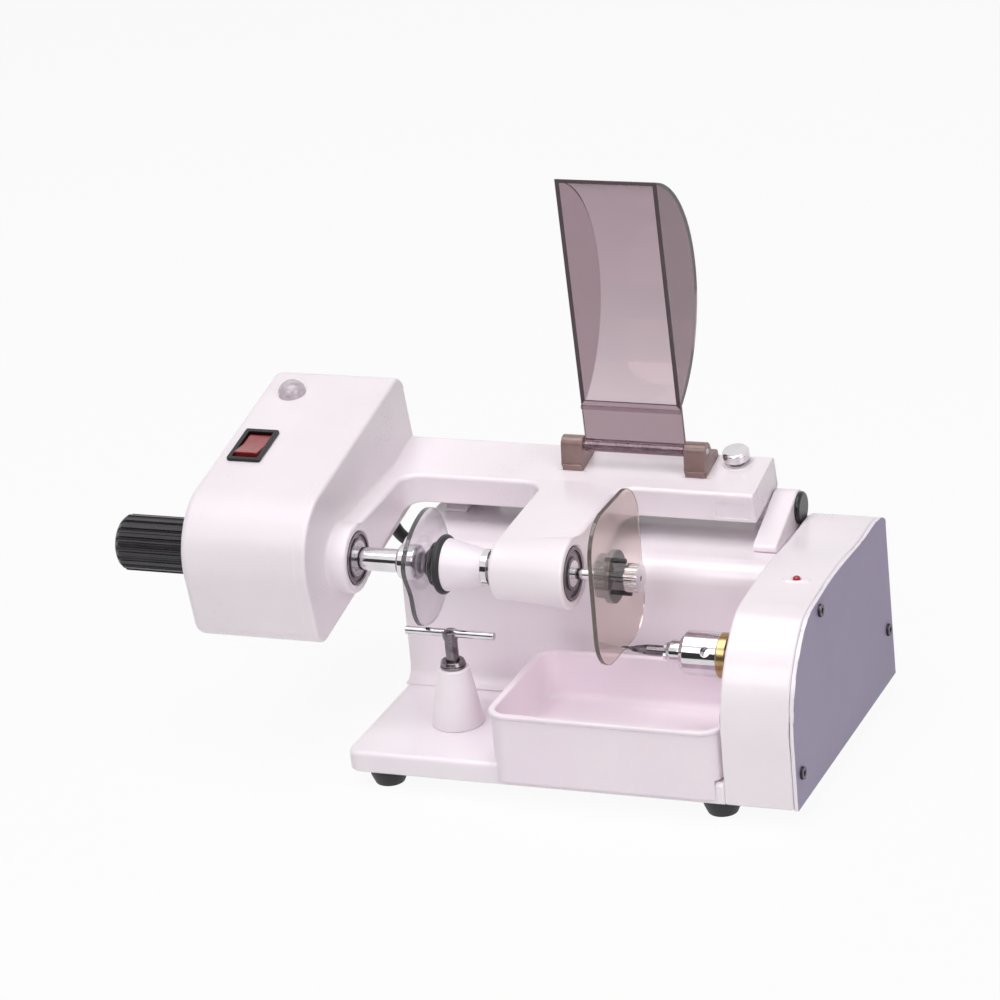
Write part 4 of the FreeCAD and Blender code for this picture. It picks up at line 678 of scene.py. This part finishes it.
# Lens clamp
# A fluted black plastic knob drives a polished, chromed shaft out of the gearbox.
# Its hub presses the lens with a clear soft pad.
softened("clamp_shaft", "clamp_rod", "clamp", chrome, edge=0.0003)
softened("pressure_hub", "clamp_hub", "clamp", chrome, edge=0.0003)
clear_plastic = finish("clear plastic", tone(236, 232, 236), tone(226, 222, 228), rough=(0.04, 0.1),
                       cloud=90, grain=900, depth=0.000002,
                       even=[("Transmission Weight", 0.96), ("IOR", 1.49)])
softened("pressure_pad", "clamp_pad", "clamp", clear_plastic, edge=0.0003)
knob_plastic = finish("knob plastic", tone(44, 39, 46), tone(33, 29, 35), rough=(0.22, 0.34), cloud=90,
                      grain=2600, depth=0.000006, edge_rub_and_highlight=tone(86, 82, 88),
                      even=[("Specular IOR Level", 0.55)])
softened("clamp_knob", "knob", "knob", knob_plastic, edge=0.00012)

# Lens and its spindle
# The spectacle lens held by a clear suction cup in a white cone with a rubber ring,
# on a polished spindle.
spectacle_lens = softened("demo_lens", "spectacle_lens", "lens_line", clear_plastic,
                          edge=0.0001)
spectacle_lens.visible_shadow = False
softened("lens_cup", "suction_cup", "lens_line", clear_plastic, edge=0.0003)
cone_plastic = finish("cone plastic", tone(250, 240, 247), tone(245, 234, 242), rough=(0.28, 0.4),
                      cloud=60, grain=1500, depth=0.000008, edge_rub_and_highlight=tone(255, 248, 252))
softened("lens_cone", "cone", "lens_line", cone_plastic, edge=0.0004)
softened("lens_ring", "rubber_ring", "lens_line", black_rubber, edge=0.0001)
softened("lens_spindle", "spindle", "lens_line", chrome, edge=0.0002)

# Pattern
# The outline blank, cut from straw coloured clear sheet, sits on the pins of a black hub.
# A knurled chrome screw holds it on the spindle's end.
softened("pattern_hub", "hub", "lens_line", black_plastic, edge=0.0003)
straw_plastic = finish("straw blank plastic", tone(240, 230, 226), tone(234, 224, 220),
                       rough=(0.04, 0.1), cloud=40, grain=1300, depth=0.000004,
                       even=[("Transmission Weight", 0.92), ("IOR", 1.49)],
                       smoke=((0.5, 0.3, 0.15, 1.0), 60.0))
outline_blank = softened("pattern_blank", "outline_blank", "lens_line", straw_plastic,
                         edge=0.0003)
outline_blank.visible_shadow = False
softened("pattern_screw", "knurled_screw", "pattern_nut", chrome, edge=0.00006)

# Splash guard
# A smoked brown acrylic shell that swings on a steel pin between two brackets of the same
# plastic, each held by a screw. The cut rim of its open side gets a dark opaque colour,
# painted shade for the darkening that smoked plastic shows when seen edge-on.
guard_plastic = finish("smoked guard plastic", tone(250, 246, 248), tone(244, 240, 242),
                       rough=(0.03, 0.08), cloud=14, grain=900, depth=0.000002,
                       even=[("Transmission Weight", 0.97), ("IOR", 1.36),
                             ("Specular Tint", tone(226, 186, 192))],
                       smoke=((0.24, 0.0, 0.094, 1.0), 450.0))
guard_shell = softened("splash_guard", "guard_shell", "guard", guard_plastic, edge=0.0004)
guard_shell.visible_shadow = False
# Painted shade: the rim faces are coloured dark in place of the light the smoked plastic swallows along
# its edge.
rim_painted_shade = finish("guard rim painted shade", tone(84, 68, 74), tone(66, 54, 60), rough=(0.12, 0.24), cloud=60,
                     grain=1200, depth=0.000004, edge_rub_and_highlight=tone(112, 94, 100),
                     even=[("Specular IOR Level", 0.4)])
guard_rim = added("guard_rim", guard_shell.data.copy(), "guard", rim_painted_shade)
guard_rim.visible_shadow = False
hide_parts("splash_guard")
guard_wall = 0.002
rim_reach = 0.0005
wall_inside = max(corner.co.x for corner in guard_shell.data.vertices) - guard_wall
walls_foot = min(corner.co.z for corner in guard_shell.data.vertices
                 if abs(corner.co.x - wall_inside) < 0.0001)
flap = max((face for face in guard_shell.data.polygons if face.normal.y < -0.9),
           key=lambda face: face.area)
flap_middle, flap_facing = flap.center.copy(), flap.normal.copy()


def on_rim(face):
    """Whether a face is in the plane of the guard's open side, above its flap."""
    middle = face.calc_center_median()
    in_front = abs((middle - flap_middle).dot(flap_facing)) < rim_reach
    return in_front and middle.z > walls_foot


pared(guard_rim, on_rim)
pared(guard_shell, lambda face: not on_rim(face))
bracket_plastic = finish("bracket plastic", tone(176, 146, 142), tone(152, 122, 118),
                         rough=(0.1, 0.2), cloud=90, grain=1400, depth=0.000004,
                         edge_rub_and_highlight=tone(206, 184, 180),
                         even=[("Transmission Weight", 0.35), ("IOR", 1.49)])
softened("guard_brackets", "guard_lugs", "carriage", bracket_plastic, edge=0.0005)
softened("guard_bracket_screws", "lug_screws", "carriage", chrome, edge=0.0002)
softened("guard_pin", "pivot_pin", "carriage", turned_steel, edge=0.0002)

# Release button
# A turned and chromed push button that stands on the right end of the beam.
# It is pressed down against a spring.
softened("release_button", "push_button", "button", chrome, edge=0.0005)
